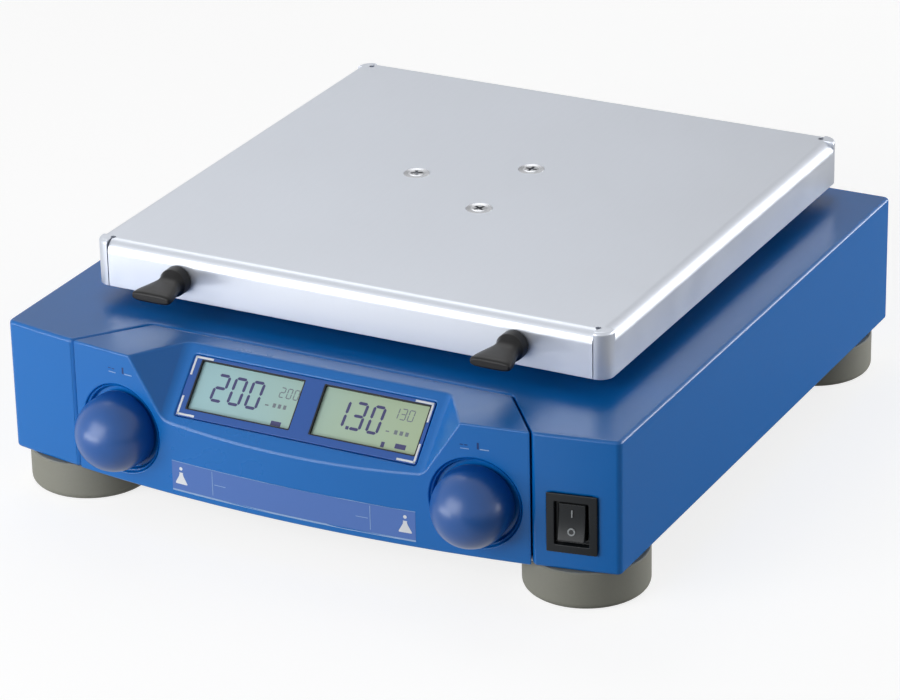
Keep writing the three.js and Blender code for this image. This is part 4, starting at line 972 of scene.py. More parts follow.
@dataclass
class Panel:
    """The front panel with its slanted recess, window, displays and knobs."""

    front: Front
    front_half: float = 100.6
    rear_half: float = 80.0
    setback: float = 34.0
    wall: float = 2.6
    edge: float = 0.8
    edge_angle: float = 28.0
    gap: float = 0.7
    fit: float = 0.2
    base_room: float = 2.7
    tool: float = 6.0
    recess_brow: float = 73.0
    recess_rear_half: float = 58.0
    recess_foot: float = 57.3
    recess_setback: float = 26.0
    recess_drop: float = 24.3
    recess_reach: float = 200.0
    fillet: float = 6.0
    fillet_steps: int = 8
    window: Point2 = (106.4, 25.7)
    window_corner: float = 0.8
    window_edge: float = 0.18
    window_depth: float = 1.2
    window_rise: float = 4.7
    display: Point2 = (45.2, 20.0)
    display_pitch: float = 55.0
    opening: Point2 = (46.5, 21.2)
    opening_shift: Point2 = (1.0, 0.9)
    opening_corner: float = 0.4
    glass_levels: Point2 = (-2.6, -1.4)
    glass_lap: float = 0.3
    glass_edge: float = 0.12
    seal_levels: Point2 = (-4.8, -2.5)
    seal_inset: float = 0.9
    # The dark frame that paints the shadow in each display opening: its levels, its gap to the opening and
    # its width
    shadow_frame_levels: Point2 = (-1.38, -0.05)
    shadow_frame_gap: float = 0.02
    shadow_frame_line: float = 0.45
    bracket_inset: Point2 = (0.9, 0.8)
    bracket_arm: float = 8.0
    bracket_line: float = 0.85
    bracket_sheet: float = 0.08
    bracket_level: float = 0.03
    ink_levels: Point2 = (-1.42, -1.36)
    knob_x: float = 78.4
    knob_z: float = 39.2
    knob_radius: float = 15.6
    knob_out: float = 4.2
    knob_sink: float = 1.8
    knob_rim: float = 0.4
    knob_bore: Point2 = (2.2, 8.4)
    knob_hollow: Point2 = (5.2, 1.3)
    knob_steps: int = 28
    knob_sides: int = 96
    seat: float = 18.6
    seat_step: float = 1.1
    seat_reach: float = 6.0
    well: float = 17.4
    well_depth: float = 3.1
    well_reach: float = 5.0
    bush: float = 3.8
    bush_depth: float = 9.0

    def plan(self, grow: float, back: float) -> list[Point2]:
        """Gives the panel's four-sided plan, grown sideways and backwards."""
        tip = Vector((self.front_half, self.front.at(self.front_half)))
        rear = Vector((self.rear_half, self.front.apex + self.setback))
        along = (tip - rear).normalized()
        outward = Vector((-along.y, along.x))
        shifted = rear + outward * grow
        near = shifted + along * ((back - outward.y * grow) / along.y)
        far = shifted + along * ((tip - rear).length + self.front.bow + SLACK)
        right = [(far.x, far.y), (near.x, near.y)]
        return [(-near.x, near.y), (-far.x, far.y)] + right

    @property
    def foot_in(self) -> float:
        """Gives how far the recess's foot lies behind the bow's apex."""
        return self.front.at(self.recess_foot) - self.front.apex

    @property
    def slope(self) -> float:
        """Gives the recess floor's angle to the level."""
        return math.atan2(self.recess_drop, self.recess_setback - self.foot_in)

    @property
    def slant(self) -> Matrix:
        """Gives the frame of the window's face: X to the right, Y up the slope and Z out."""
        rear_y = self.front.apex + self.recess_setback
        middle = self.window[1] / 2 + self.window_rise
        down = self.front.high - middle * math.sin(self.slope)
        point = Vector((0, rear_y - middle * math.cos(self.slope), down))
        return Matrix.Translation(point) @ Matrix.Rotation(self.slope, 4, "X")

    def knob_frame(self, side: int) -> Matrix:
        """Gives the frame of one knob, with Z outwards."""
        return self.front.frame(side * self.knob_x, self.knob_z) @ UPRIGHT

    def recess(self, grow: float) -> Stock:
        """Makes the recess as a solid, grown outwards, with its floor filleted into its cheeks."""
        front, top = self.front, self.front.high
        rear = Vector((self.recess_rear_half, front.apex + self.recess_setback, top))
        brow = Vector((self.recess_brow, front.at(self.recess_brow), top))
        foot = Vector((self.recess_foot, front.at(self.recess_foot), top - self.recess_drop))
        cheek = (brow - rear).cross(foot - rear).normalized()
        if cheek.x < 0:
            cheek.negate()
        floor = Vector((0, math.sin(self.slope), -math.cos(self.slope)))
        planes = [(rear + floor * grow, floor), (Vector((0, 0, top + SLACK * 2)), Vector((0, 0, 1)))]
        planes.append((Vector((0, front.apex - SLACK * 2, 0)), Vector((0, -1, 0))))
        seam = rear + self.shift(cheek, floor, grow)
        round_in = self.fillet - grow
        axis = seam + self.shift(cheek, floor, -round_in)
        for side in (1, -1):
            flip = Matrix.Diagonal((side, 1, 1))
            planes.append((flip @ (rear + cheek * grow), flip @ cheek))
            for step in range(1, self.fillet_steps):
                way = cheek.slerp(floor, step / self.fillet_steps)
                planes.append((flip @ (axis + way * round_in), flip @ way))
        return convex(planes, self.recess_reach)

    def shift(self, first: Vector, second: Vector, distance: float) -> Vector:
        """Gives the step that lies this far beyond both of two planes through a point."""
        return (first + second) * (distance / (1 + first.dot(second)))

    def seats(self, grow: float) -> list[Stock]:
        """Makes the two stepped knob seats as solids."""
        made = []
        for _, side in SIDES:
            wide = prism(circle(self.seat + grow), -self.seat_step - grow, self.seat_reach)
            deep = prism(circle(self.well + grow), -self.well_depth - grow, self.well_reach)
            made += [wide.placed(self.knob_frame(side)), deep.placed(self.knob_frame(side))]
        return made

    def window_seat(self) -> Stock:
        """Makes the window's seat as a solid, a little larger than the film."""
        size = (self.window[0] + self.fit * 2, self.window[1] + self.fit * 2, self.tool)
        return block(size, (0, 0, self.tool / 2 - self.window_depth - self.fit)).placed(self.slant)

    def shell(self) -> None:
        """Makes the panel itself."""
        front = self.front
        below, above = front.low - SLACK, front.high + SLACK
        outside = prism(front.outline(0), front.low, front.high)
        outside.keep(prism(self.plan(0, 0), below, above))
        hollow = prism(self.plan(-self.wall, self.setback), below, front.high - self.wall)
        hollow.keep(prism(front.outline(self.wall), below - SLACK, front.high))
        hollow.cut(self.recess(self.wall), *self.seats(self.wall))
        outside.cut(self.recess(0), *self.seats(0), hollow)
        outside.cut(prism(front.outline(self.wall), below, front.low + self.base_room))
        tools = [self.window_seat()]
        for _, side in SIDES:
            tools.append(prism(self.mouth(side, -self.fit * 2), -self.tool, self.tool).placed(self.slant))
        for _, side in SIDES:
            bush = prism(circle(self.bush, steps=32), -self.bush_depth, 0.0)
            tools.append(bush.placed(self.knob_frame(side)))
        outside.cut(*tools)
        outside.rounded(self.edge, angle=self.edge_angle)
        outside.piece("panel_shell", BLUE_MOULDING, "housing", "blue_plastic", "front_panel")

    def film(self) -> None:
        """Makes the window's printed film, with an opening over each display."""
        wide, tall = self.window
        plate = prism(rounded_square(wide / 2, tall / 2, self.window_corner), -self.window_depth, 0.0)
        plate.cut(*[prism(self.mouth(side), -self.tool, self.tool) for _, side in SIDES])
        plate.rounded(self.window_edge, 2, SHARP).placed(self.slant)
        plate.piece("window_film", WINDOW_FILM, "housing", "window_tint", "display_window")

    def mouth(self, side: int, inset: float = 0.0) -> list[Point2]:
        """Gives the outline of one display's opening in the film, drawn in by an inset."""
        half_x, half_y = (length / 2 - inset for length in self.opening)
        outline = rounded_square(half_x, half_y, self.opening_corner)
        return moved(outline, side * self.display_pitch / 2 + self.opening_shift[0], self.opening_shift[1])

    def cells(self) -> None:
        """Makes the two liquid-crystal cells, each a glass plate with a smaller edge seal under it, in the
        same finish.
        """
        for label, side in SIDES:
            glass = prism(self.mouth(side, -self.glass_lap), *self.glass_levels)
            glass.join(prism(self.mouth(side, self.seal_inset), *self.seal_levels))
            glass.rounded(self.glass_edge, 2, SHARP).placed(self.slant)
            glass.piece(f"{label}_cell", LIQUID_CRYSTAL, "housing", "display_glass", f"{label}_display")

    def shadow_frames(self) -> None:
        """Makes the thin dark frame round each display, inside the film's openings: painted shadow on the
        openings' walls.
        """
        frames = []
        for _, side in SIDES:
            frames.append(prism(self.mouth(side, self.shadow_frame_gap), *self.shadow_frame_levels))
            frames[-1].cut(prism(self.mouth(side, self.shadow_frame_line), -self.tool, self.tool))
        gathered(frames).placed(self.slant).piece("display_shadow_frames", PAINTED_SHADOW_BLACK, "housing", "black_plastic")

    def brackets(self) -> None:
        """Prints a white angle round each outer corner of the pair of displays."""
        reach_x, reach_y = (length / 2 - inset for length, inset in zip(self.window, self.bracket_inset))
        arm, line, sheet = self.bracket_arm, self.bracket_line, self.bracket_sheet
        marks = []
        for _, side in SIDES:
            for rise in (-1, 1):
                x, y = side * reach_x, rise * reach_y
                marks.append(block((arm, line, sheet), (x - side * (arm - line) / 2, y, self.bracket_level)))
                marks.append(block((line, arm, sheet), (x, y - rise * (arm - line) / 2, self.bracket_level)))
        gathered(marks).placed(self.slant).piece("window_brackets", WHITE_PRINT, "housing", "white_plastic")

    def knob_profile(self) -> list[Point2]:
        """Gives a knob's radii and heights, from its bore over the ball to its crown."""
        bore, bore_top = self.knob_bore
        hollow, hollow_top = self.knob_hollow
        radius, foot, rim = self.knob_radius, -self.knob_sink, self.knob_rim
        points = [(0.0, bore_top), (bore, bore_top), (bore, hollow_top), (hollow, hollow_top), (hollow, foot)]
        points += [(radius - rim, foot), (radius, foot + rim)]
        turns = (math.pi / 2 * step / self.knob_steps for step in range(self.knob_steps))
        points += [(radius * math.cos(turn), self.knob_out + radius * math.sin(turn)) for turn in turns]
        return points + [(0.0, self.knob_out + radius)]

    def knobs(self, grid: Recipe) -> None:
        """Makes the two ball knobs."""
        points = self.knob_profile()
        for label, side in SIDES:
            ball = grid.run(profile(points), KNOB_BLUE.material(), Rows=len(points), Sides=self.knob_sides)
            ball.placed(self.knob_frame(side))
            ball.piece(f"{label}_knob_ball", KNOB_BLUE, f"{label}_dial", "knob_plastic", f"{label}_knob")

    def figures(self) -> None:
        """Lays the dark figures and bars on the two displays."""
        inks: dict[Finish, list[Stock]] = {DIGIT_INK: [], FAINT_INK: []}
        for figure in FIGURES:
            left = figure.cell.value * self.display_pitch / 2 - self.display[0] / 2
            foot = -self.display[1] / 2
            ink = inks[DIGIT_INK if figure.bold else FAINT_INK]
            ink += [prism(moved(outline, left, foot), *self.ink_levels) for outline in figure.outlines()]
        for (finish, shapes), name in zip(inks.items(), ("display_figures", "display_marks")):
            gathered(shapes).placed(self.slant).piece(name, finish, "housing", "display_glass")

    def build(self, grid: Recipe) -> None:
        """Builds every piece of the panel."""
        self.shell()
        self.film()
        self.cells()
        self.shadow_frames()
        self.brackets()
        self.figures()
        Prints(self.front).build()
        self.knobs(grid)


def strip(left: float, right: float, low: float, high: float, steps: int = 40) -> list[Point2]:
    """Gives a level strip's outline, with points along it so that it can bend."""
    across = [left + (right - left) * step / steps for step in range(steps + 1)]
    return [(x, low) for x in across] + [(x, high) for x in reversed(across)]


FLASK_SIDE = ((2.6, 0.0), (2.75, 0.5), (1.0, 3.6), (0.75, 4.6), (0.95, 5.0))
DROP_RISE = 6.7
DROP_RADIUS = 0.75


def flask(x: float, z: float) -> list[list[Point2]]:
    """Gives the outlines of a conical flask with a drop above it."""
    body = [(x + side, z + rise) for side, rise in FLASK_SIDE]
    body += [(x - side, z + rise) for side, rise in reversed(FLASK_SIDE)]
    return [body, moved(circle(DROP_RADIUS, steps=16), x, z + DROP_RISE)]


class Cell(Enum):
    """Which of the two displays a figure stands on."""

    LEFT = -1
    RIGHT = 1


class Bar(Enum):
    """The seven bars of a digit, as start and end corners in shares of its width and height."""

    TOP = ((0, 1), (1, 1))
    UPPER_LEFT = ((0, 0.5), (0, 1))
    UPPER_RIGHT = ((1, 0.5), (1, 1))
    MIDDLE = ((0, 0.5), (1, 0.5))
    LOWER_LEFT = ((0, 0), (0, 0.5))
    LOWER_RIGHT = ((1, 0), (1, 0.5))
    FOOT = ((0, 0), (1, 0))


DIGIT_BARS: dict[str, tuple[Bar, ...]] = {
    "0": (Bar.TOP, Bar.UPPER_LEFT, Bar.UPPER_RIGHT, Bar.LOWER_LEFT, Bar.LOWER_RIGHT, Bar.FOOT),
    "1": (Bar.UPPER_RIGHT, Bar.LOWER_RIGHT),
    "2": (Bar.TOP, Bar.UPPER_RIGHT, Bar.MIDDLE, Bar.LOWER_LEFT, Bar.FOOT),
    "3": (Bar.TOP, Bar.UPPER_RIGHT, Bar.MIDDLE, Bar.LOWER_RIGHT, Bar.FOOT),
}

# Shares of a bar's line width: the bar itself, its gap, its tip, and the dot's gap and side
BAR_WIDTH, BAR_GAP, BAR_TIP, DOT_GAP, DOT_SIDE = 0.92, 0.12, 0.9, 0.9, 1.05


@dataclass(frozen=True)
class Figure:
    """A row of digits, or of plain bars, on one display, from the cell's lower left corner."""

    cell: Cell
    text: str
    left: float
    foot: float
    width: float
    height: float
    pitch: float = 0.0
    line: float = 1.0
    lean: float = 0.05
    bold: bool = True

    def outlines(self) -> list[list[Point2]]:
        """Gives the outlines of every bar in the row."""
        found: list[list[Point2]] = []
        place = self.left
        for letter in self.text:
            if letter == ".":
                dot = self.line * DOT_SIDE
                found.append(self.oblong(place - self.pitch + self.width + self.line * DOT_GAP, dot, dot))
                continue
            if letter == "-":
                found.append(self.oblong(place, self.width, self.height))
            found += [self.bar(bar, place) for bar in DIGIT_BARS.get(letter, ())]
            place += self.pitch
        return found

    def oblong(self, left: float, width: float, height: float) -> list[Point2]:
        """Gives a plain rectangle that stands on the row's foot."""
        right, top = left + width, self.foot + height
        return [(left, self.foot), (right, self.foot), (right, top), (left, top)]

    def bar(self, bar: Bar, place: float) -> list[Point2]:
        """Gives one bar of a digit as a long hexagon."""
        inner = self.line / 2
        wide, tall = self.width - self.line, self.height - self.line
        start, end = (
            Vector((place + inner + x * wide, self.foot + inner + y * tall)) for x, y in bar.value
        )
        along = (end - start).normalized()
        across = Vector((-along.y, along.x)) * inner * BAR_WIDTH
        start, end = start + along * BAR_GAP * self.line, end - along * BAR_GAP * self.line
        tip = along * inner * BAR_TIP
        below = (start, start + tip - across, end - tip - across)
        corners = (*below, end, end - tip + across, start + tip + across)
        return [(corner.x + (corner.y - self.foot) * self.lean, corner.y) for corner in corners]


FIGURES = (
    Figure(Cell.LEFT, "200", 8.2, 5.7, 6.0, 12.0, 7.75, 1.3),
    Figure(Cell.LEFT, "200", 37.0, 12.8, 2.3, 4.4, 3.1, 0.45, bold=False),
    Figure(Cell.LEFT, "-", 32.6, 8.6, 1.6, 0.5, bold=False),
    Figure(Cell.LEFT, "---", 36.0, 8.4, 1.3, 1.7, 2.3, bold=False),
    Figure(Cell.LEFT, "-", 37.6, 1.2, 4.4, 1.9),
    Figure(Cell.RIGHT, "1.30", 7.2, 5.7, 5.7, 12.0, 7.6, 1.3),
    Figure(Cell.RIGHT, "130", 31.4, 13.6, 2.6, 4.8, 3.3, 0.45, bold=False),
    Figure(Cell.RIGHT, "-", 31.0, 8.0, 1.5, 0.5, bold=False),
    Figure(Cell.RIGHT, "---", 34.6, 7.6, 1.4, 1.7, 2.4, bold=False),
    Figure(Cell.RIGHT, "-", 30.8, 1.6, 1.5, 2.2),
    Figure(Cell.RIGHT, "-", 36.8, 2.2, 4.6, 2.0),
)


@dataclass
class Housing:
    """The painted cover and its four feet."""

    front: Front
    panel: Panel
    wall: float = 3.0
    edge: float = 1.5
    column_hole: float = 38.0
    column_steps: int = 96
    tool: float = 12.0
    switch_x: float = 116.5
    switch_z: float = 36.2
    switch_cut: Point2 = (18.4, 23.0)
    inlet_cut: Point2 = (27.8, 33.4)
    serial_cut: Point2 = (17.4, 8.8)
    foot_bore: float = 2.3
    foot_pocket: float = 4.2
    foot_pocket_rise: float = 9.2
    foot_round: float = 3.0
    foot_steps: int = 6
    foot_chamfer: float = 0.5
    foot_sides: int = 96

    def shell(self) -> None:
        """Makes the cover, open below and cut out for the panel, column, switch and sockets."""
        front = self.front
        below, above = front.low - SLACK, front.high + SLACK
        shell = prism(front.outline(0), front.low, front.high)
        inside = prism(front.outline(self.wall), below, front.high - self.wall)
        notch = prism(self.panel.plan(self.panel.gap, self.panel.gap), below, above)
        crank = joint_place("crank_turn")
        round_hole = circle(self.column_hole, crank.x, crank.y, self.column_steps)
        column = prism(round_hole, front.high - self.wall - SLACK, above)
        switch = block((self.switch_cut[0], self.tool, self.switch_cut[1]), (0, 0, 0))
        switch.placed(front.frame(self.switch_x, self.switch_z))
        sockets = []
        for node, (wide, tall) in (("mains_inlet", self.inlet_cut), ("serial_socket", self.serial_cut)):
            low, high = box_of(node)
            middle = ((low.x + high.x) / 2, front.rear, (low.z + high.z) / 2)
            sockets.append(block((wide, self.tool, tall), middle))
        shell.cut(inside, notch, column, switch, *sockets)
        shell.rounded(self.edge)
        shell.piece("housing_shell", BLUE_PAINT, "housing", "blue_paint", "housing_cover")

    def foot_profile(self, radius: float, low: float, high: float) -> list[Point2]:
        """Gives a foot's radii and heights, from its bore round the outside to its screw pocket.

        Args:
            radius: The foot's radius.
            low: The height of its sole.
            high: The height of its top.

        Returns:
            The points of the profile.
        """
        chamfer, sole = self.foot_chamfer, self.foot_round
        points = [(self.foot_bore, high), (radius - chamfer, high), (radius, high - chamfer)]
        turns = (math.pi / 2 * step / self.foot_steps for step in range(self.foot_steps + 1))
        points += [
            (radius - sole + sole * math.cos(turn), low + sole - sole * math.sin(turn)) for turn in turns
        ]
        ceiling = low + self.foot_pocket_rise
        points += [(self.foot_pocket, low), (self.foot_pocket, ceiling)]
        return points + [(self.foot_bore, ceiling), (self.foot_bore, high)]

    def feet(self, grid: Recipe) -> None:
        """Makes the four round rubber feet as one mesh."""
        nodes = [f"foot_{end}_{side}" for end in ("front", "rear") for side, _ in SIDES]
        first, last = box_of(nodes[0]), box_of(nodes[-1])
        points = self.foot_profile((first[1].x - first[0].x) / 2, first[0].z, first[1].z)
        feet = grid.run(
            profile(points), FOOT_RUBBER.material(), Rows=len(points), Sides=self.foot_sides,
            Across=2, Along=2, Pitch_X=last[0].x - first[0].x, Pitch_Y=last[0].y - first[0].y,
        )
        middle = (first[0] + last[1]) / 2
        feet.placed(Matrix.Translation((middle.x, middle.y, 0)))
        feet.piece("feet", FOOT_RUBBER, "housing", "foot_rubber", *nodes)

    def build(self, grid: Recipe) -> None:
        """Builds the cover and the feet."""
        self.shell()
        self.feet(grid)


@dataclass
class Switch:
    """The rocker mains switch in the right end of the cover's front."""

    front: Front
    x: float = 116.5
    z: float = 36.2
    flange: Point2 = (20.0, 24.6)
    proud: float = 1.1
    seat: float = 0.2
    edge: float = 0.35
    body: Point3 = (18.0, 14.6, 22.6)
    body_out: float = 0.6
    well: Point2 = (13.6, 18.0)
    well_depth: float = 1.6
    well_tool: float = 8.0
    slot_play: float = 0.8
    slot_shorter: float = 3.4
    slot_depth: float = 4.4
    slot_tool: float = 20.0
    rocker: Point2 = (10.4, 14.6)
    rocker_back: float = 2.6
    rocker_edge: float = 0.3
    pivot: float = 2.6
    lip: float = 1.4
    valley: float = 0.5
    dish_steps: int = 8
    throw: float = 10.0
    stroke_half: float = 0.22
    stroke_ends: Point2 = (2.2, 5.0)
    stroke_levels: Point2 = (0.75, 1.3)
    ring: Point2 = (1.5, 1.0)
    ring_z: float = -3.6
    ring_levels: Point2 = (0.6, 1.12)

    def housing(self) -> None:
        """Makes the switch's flange and body with its stepped well."""
        wide, tall = self.flange
        flange = block((wide, self.proud - self.seat, tall), (0, -(self.proud + self.seat) / 2, 0))
        body = block(self.body, (0, self.body[1] / 2 - self.body_out, 0))
        size = (self.well[0], self.well_tool, self.well[1])
        step = block(size, (0, self.well_depth - self.well_tool / 2, 0))
        size = (self.rocker[0] + self.slot_play, self.slot_tool, self.well[1] - self.slot_shorter)
        slot = block(size, (0, self.pivot + self.slot_depth - self.slot_tool / 2, 0))
        flange.join(body).cut(step, slot).rounded(self.edge, angle=SHARP)
        flange.placed(self.front.frame(self.x, self.z))
        flange.piece("switch_frame", SWITCH_BLACK, "housing", "black_plastic", "switch_housing")

    def lever(self) -> None:
        """Makes the rocker with its dished face."""
        half, back, steps = self.rocker[1] / 2, self.rocker_back, self.dish_steps
        section = [
            (-self.valley - (self.lip - self.valley) * (step / steps) ** 2, half * step / steps)
            for step in range(steps, -steps - 1, -1)
        ]
        behind = self.pivot + back
        section += [(self.pivot, -half), (behind, -back), (behind, back), (self.pivot, half)]
        rings = [[Vector((x, y, z)) for y, z in section] for x in (-self.rocker[0] / 2, self.rocker[0] / 2)]
        lever = loft(rings).rounded(self.rocker_edge, angle=30).placed(self.rest())
        lever.piece("rocker_lever", SWITCH_BLACK, "rocker", "black_plastic", "switch_rocker")

    def rest(self) -> Matrix:
        """Gives the rocker's place, tipped about its pivot as it stands at rest."""
        pivot = Matrix.Translation((0, self.pivot, 0))
        tip = Matrix.Rotation(-math.radians(self.throw), 4, "X")
        return self.front.frame(self.x, self.z) @ pivot @ tip @ pivot.inverted()

    def marks(self) -> None:
        """Prints the stroke and the ring on the rocker's face."""
        stroke = prism(strip(-self.stroke_half, self.stroke_half, *self.stroke_ends, 1), *self.stroke_levels)
        outer, inner = (circle(radius, 0, self.ring_z, 32) for radius in self.ring)
        ring = prism(outer, *self.ring_levels).cut(prism(inner, 0.0, SLACK))
        marks = gathered([stroke.placed(UPRIGHT), ring.placed(UPRIGHT)]).placed(self.rest())
        marks.piece("rocker_marks", SWITCH_MARK, "rocker", "white_plastic")

    def build(self) -> None:
        """Builds the switch."""
        self.housing()
        self.lever()
        self.marks()


@dataclass
class Fitting:
    """What the two fittings at the back of the cover share."""

    front: Front

    def place(self, node: str) -> tuple[Matrix, float]:
        """Gives a frame on the rear face at a CAD node, with -Y outwards, and the node's depth inside."""
        low, high = box_of(node)
        spot = Matrix.Translation(((low.x + high.x) / 2, self.front.rear, (low.z + high.z) / 2))
        return spot @ Matrix.Rotation(math.pi, 4, "Z"), self.front.rear - low.y

    def slab(self, outline: Sequence[Point2], low: float, high: float) -> Stock:
        """Raises an outline in X and Z from one distance outwards to another."""
        return prism(outline, low, high).placed(UPRIGHT)


@dataclass
class Inlet(Fitting):
    """The mains inlet with its fuse drawer."""

    flange: Point3 = (31.0, 38.0, 2.4)
    flange_back: float = 0.2
    proud: float = 1.8
    edge: float = 0.4
    body: Point3 = (27.4, 33.0, 1.2)
    body_out: float = 0.6
    tool: float = 6.0
    socket: Point2 = (24.0, 16.4)
    socket_corner: float = 4.6
    socket_rise: float = 6.4
    socket_depth: float = 15.0
    blade: Point3 = (2.0, 9.5, 4.0)
    blade_root: float = 0.5
    blade_edge: float = 0.45
    blade_places: tuple[Point2, ...] = ((-7.0, -2.0), (7.0, -2.0), (0.0, 2.0))
    drawer: Point3 = (21.0, 8.0, 0.8)
    drawer_drop: float = 10.4
    drawer_proud: float = 0.6
    drawer_depth: float = 9.0
    drawer_edge: float = 0.3
    slot_play: float = 0.25
    slot_corner: float = 1.0
    slot_depth: float = 9.6
    notch: Point3 = (6.8, 3.0, 0.8)
    notch_depth: float = 1.4
    grip: Point3 = (13.0, 1.0, 0.3)
    grip_drop: float = 0.8
    grip_depth: float = 0.5

    def mouth(self) -> list[Point2]:
        """Gives the socket's outline, with its two upper corners cut off."""
        wide, tall = (length / 2 for length in self.socket)
        low, high, corner = self.socket_rise - tall, self.socket_rise + tall, self.socket_corner
        right = [(wide, low), (wide, high - corner), (wide - corner, high)]
        return [(-wide, low), *right, (corner - wide, high), (-wide, high - corner)]

    def shell(self) -> None:
        """Makes the inlet's body, cut out for the socket and the drawer."""
        place, depth = self.place("mains_inlet")
        half_x, half_z = (length / 2 + self.slot_play for length in self.drawer[:2])
        slot = moved(rounded_square(half_x, half_z, self.slot_corner), 0, -self.drawer_drop)
        body = self.slab(rounded_box(self.flange), self.flange_back, self.proud)
        body.join(self.slab(rounded_box(self.body), -depth, self.body_out))
        floor = self.proud - self.socket_depth
        body.cut(self.slab(self.mouth(), floor, self.tool), self.slab(slot, -self.slot_depth, self.tool))
        body.rounded(self.edge, angle=SHARP).placed(place)
        body.piece("inlet_body", BLACK_PLASTIC, "housing", "black_plastic", "mains_inlet")

    def blades(self) -> None:
        """Makes the three blades, each with its root in the socket's floor."""
        wide, length, tall = self.blade
        floor, root = self.proud - self.socket_depth, self.blade_root
        blades = []
        for x, rise in self.blade_places:
            centre = (x, -floor - (length - root) / 2, self.socket_rise + rise)
            blades.append(block((wide, length + root, tall), centre).rounded(self.blade_edge, angle=SHARP))
        together = gathered(blades).placed(self.place("mains_inlet")[0])
        together.piece("inlet_blades", BRIGHT_STEEL, "housing", "bright_steel")

    def lid(self) -> None:
        """Makes the fuse drawer with its finger notch and groove."""
        top = self.proud + self.drawer_proud
        face = moved(rounded_box(self.drawer), 0, -self.drawer_drop)
        notch = moved(rounded_box(self.notch), 0, self.drawer[1] / 2 - self.drawer_drop)
        grip = moved(rounded_box(self.grip), 0, -self.drawer_drop - self.grip_drop)
        lid = self.slab(face, -self.drawer_depth, top)
        lid.cut(
            self.slab(notch, top - self.notch_depth, top + SLACK),
            self.slab(grip, top - self.grip_depth, top + SLACK),
        )
        lid.rounded(self.drawer_edge, angle=SHARP).placed(self.place("mains_inlet")[0])
        lid.piece("fuse_drawer_lid", BLACK_PLASTIC, "housing", "black_plastic", "fuse_drawer")

    def build(self) -> None:
        """Builds the inlet."""
        self.shell()
        self.blades()
        self.lid()


@dataclass
class Serial(Fitting):
    """The serial socket with its plate, pins and posts."""

    plate: Point3 = (30.8, 12.5, 1.5)
    plate_levels: Point2 = (0.05, 1.0)
    shell: Point3 = (17.0, 14.96, 8.4)
    shell_root: float = 0.5
    shell_wall: float = 0.5
    shell_edge: float = 0.22
    core_inset: float = 0.55
    core_top: float = 1.2
    fine_edge: float = 0.2
    pin: tuple[Point2, ...] = ((0.0, 0.0), (0.5, 0.0), (0.5, 3.6), (0.35, 3.9), (0.0, 4.0))
    pin_pitch: float = 2.76
    pin_rows: tuple[tuple[int, float], ...] = ((5, 1.42), (4, -1.42))
    pin_root: float = 1.1
    pin_sides: int = 16
    post_x: float = 12.5
    post_radius: float = 2.7
    post_bore: float = 1.35
    post_levels: Point2 = (0.9, 1.6)
    post_short: float = 0.4

    def trapezoid(self, inset: float) -> list[Point2]:
        """Gives the serial shell's outline, drawn in by an inset."""
        top, bottom, tall = (length / 2 - inset for length in self.shell)
        return [(-bottom, -tall), (bottom, -tall), (top, tall), (-top, tall)]

    def pins(self, grid: Recipe) -> Stock:
        """Makes the two rows of pins."""
        rows = []
        for count, z in self.pin_rows:
            pins = grid.run(
                profile(self.pin), BRIGHT_STEEL.material(), Rows=len(self.pin), Sides=self.pin_sides,
                Across=count, Pitch_X=self.pin_pitch,
            )
            rows.append(pins.placed(Matrix.Translation((0, -self.pin_root, z)) @ UPRIGHT))
        return gathered(rows)

    def posts(self, reach: float) -> Stock:
        """Makes the two hexagonal posts with their bores."""
        posts = []
        for _, side in SIDES:
            post = self.slab(
                moved(circle(self.post_radius, steps=6), side * self.post_x, 0),
                self.post_levels[0], reach - self.post_short,
            )
            bore = moved(circle(self.post_bore, steps=24), side * self.post_x, 0)
            post.cut(self.slab(bore, self.post_levels[1], reach + 1))
            posts.append(post.rounded(self.fine_edge, 2, SHARP))
        return gathered(posts)

    def build(self, grid: Recipe) -> None:
        """Builds the serial socket's plate and shell, its core, pins and posts."""
        place, depth = self.place("serial_socket")
        reach = box_of("serial_socket")[1].y - self.front.rear
        shell = self.slab(rounded_box(self.plate), *self.plate_levels)
        shell.join(self.slab(self.trapezoid(0.0), self.shell_root, reach))
        shell.cut(self.slab(self.trapezoid(self.shell_wall), -1.0, reach + 1))
        shell.rounded(self.shell_edge, 2, SHARP).placed(place)
        shell.piece("serial_shell", BRIGHT_STEEL, "housing", "bright_steel", "serial_socket")
        core = self.slab(self.trapezoid(self.core_inset), -depth, self.core_top)
        core.rounded(self.fine_edge, 2, SHARP).placed(place)
        core.piece("serial_core", BLACK_PLASTIC, "housing", "black_plastic")
        self.pins(grid).placed(place).piece("serial_pins", BRIGHT_STEEL, "housing", "bright_steel")
        self.posts(reach).placed(place).piece("serial_posts", BRIGHT_STEEL, "housing", "bright_steel")


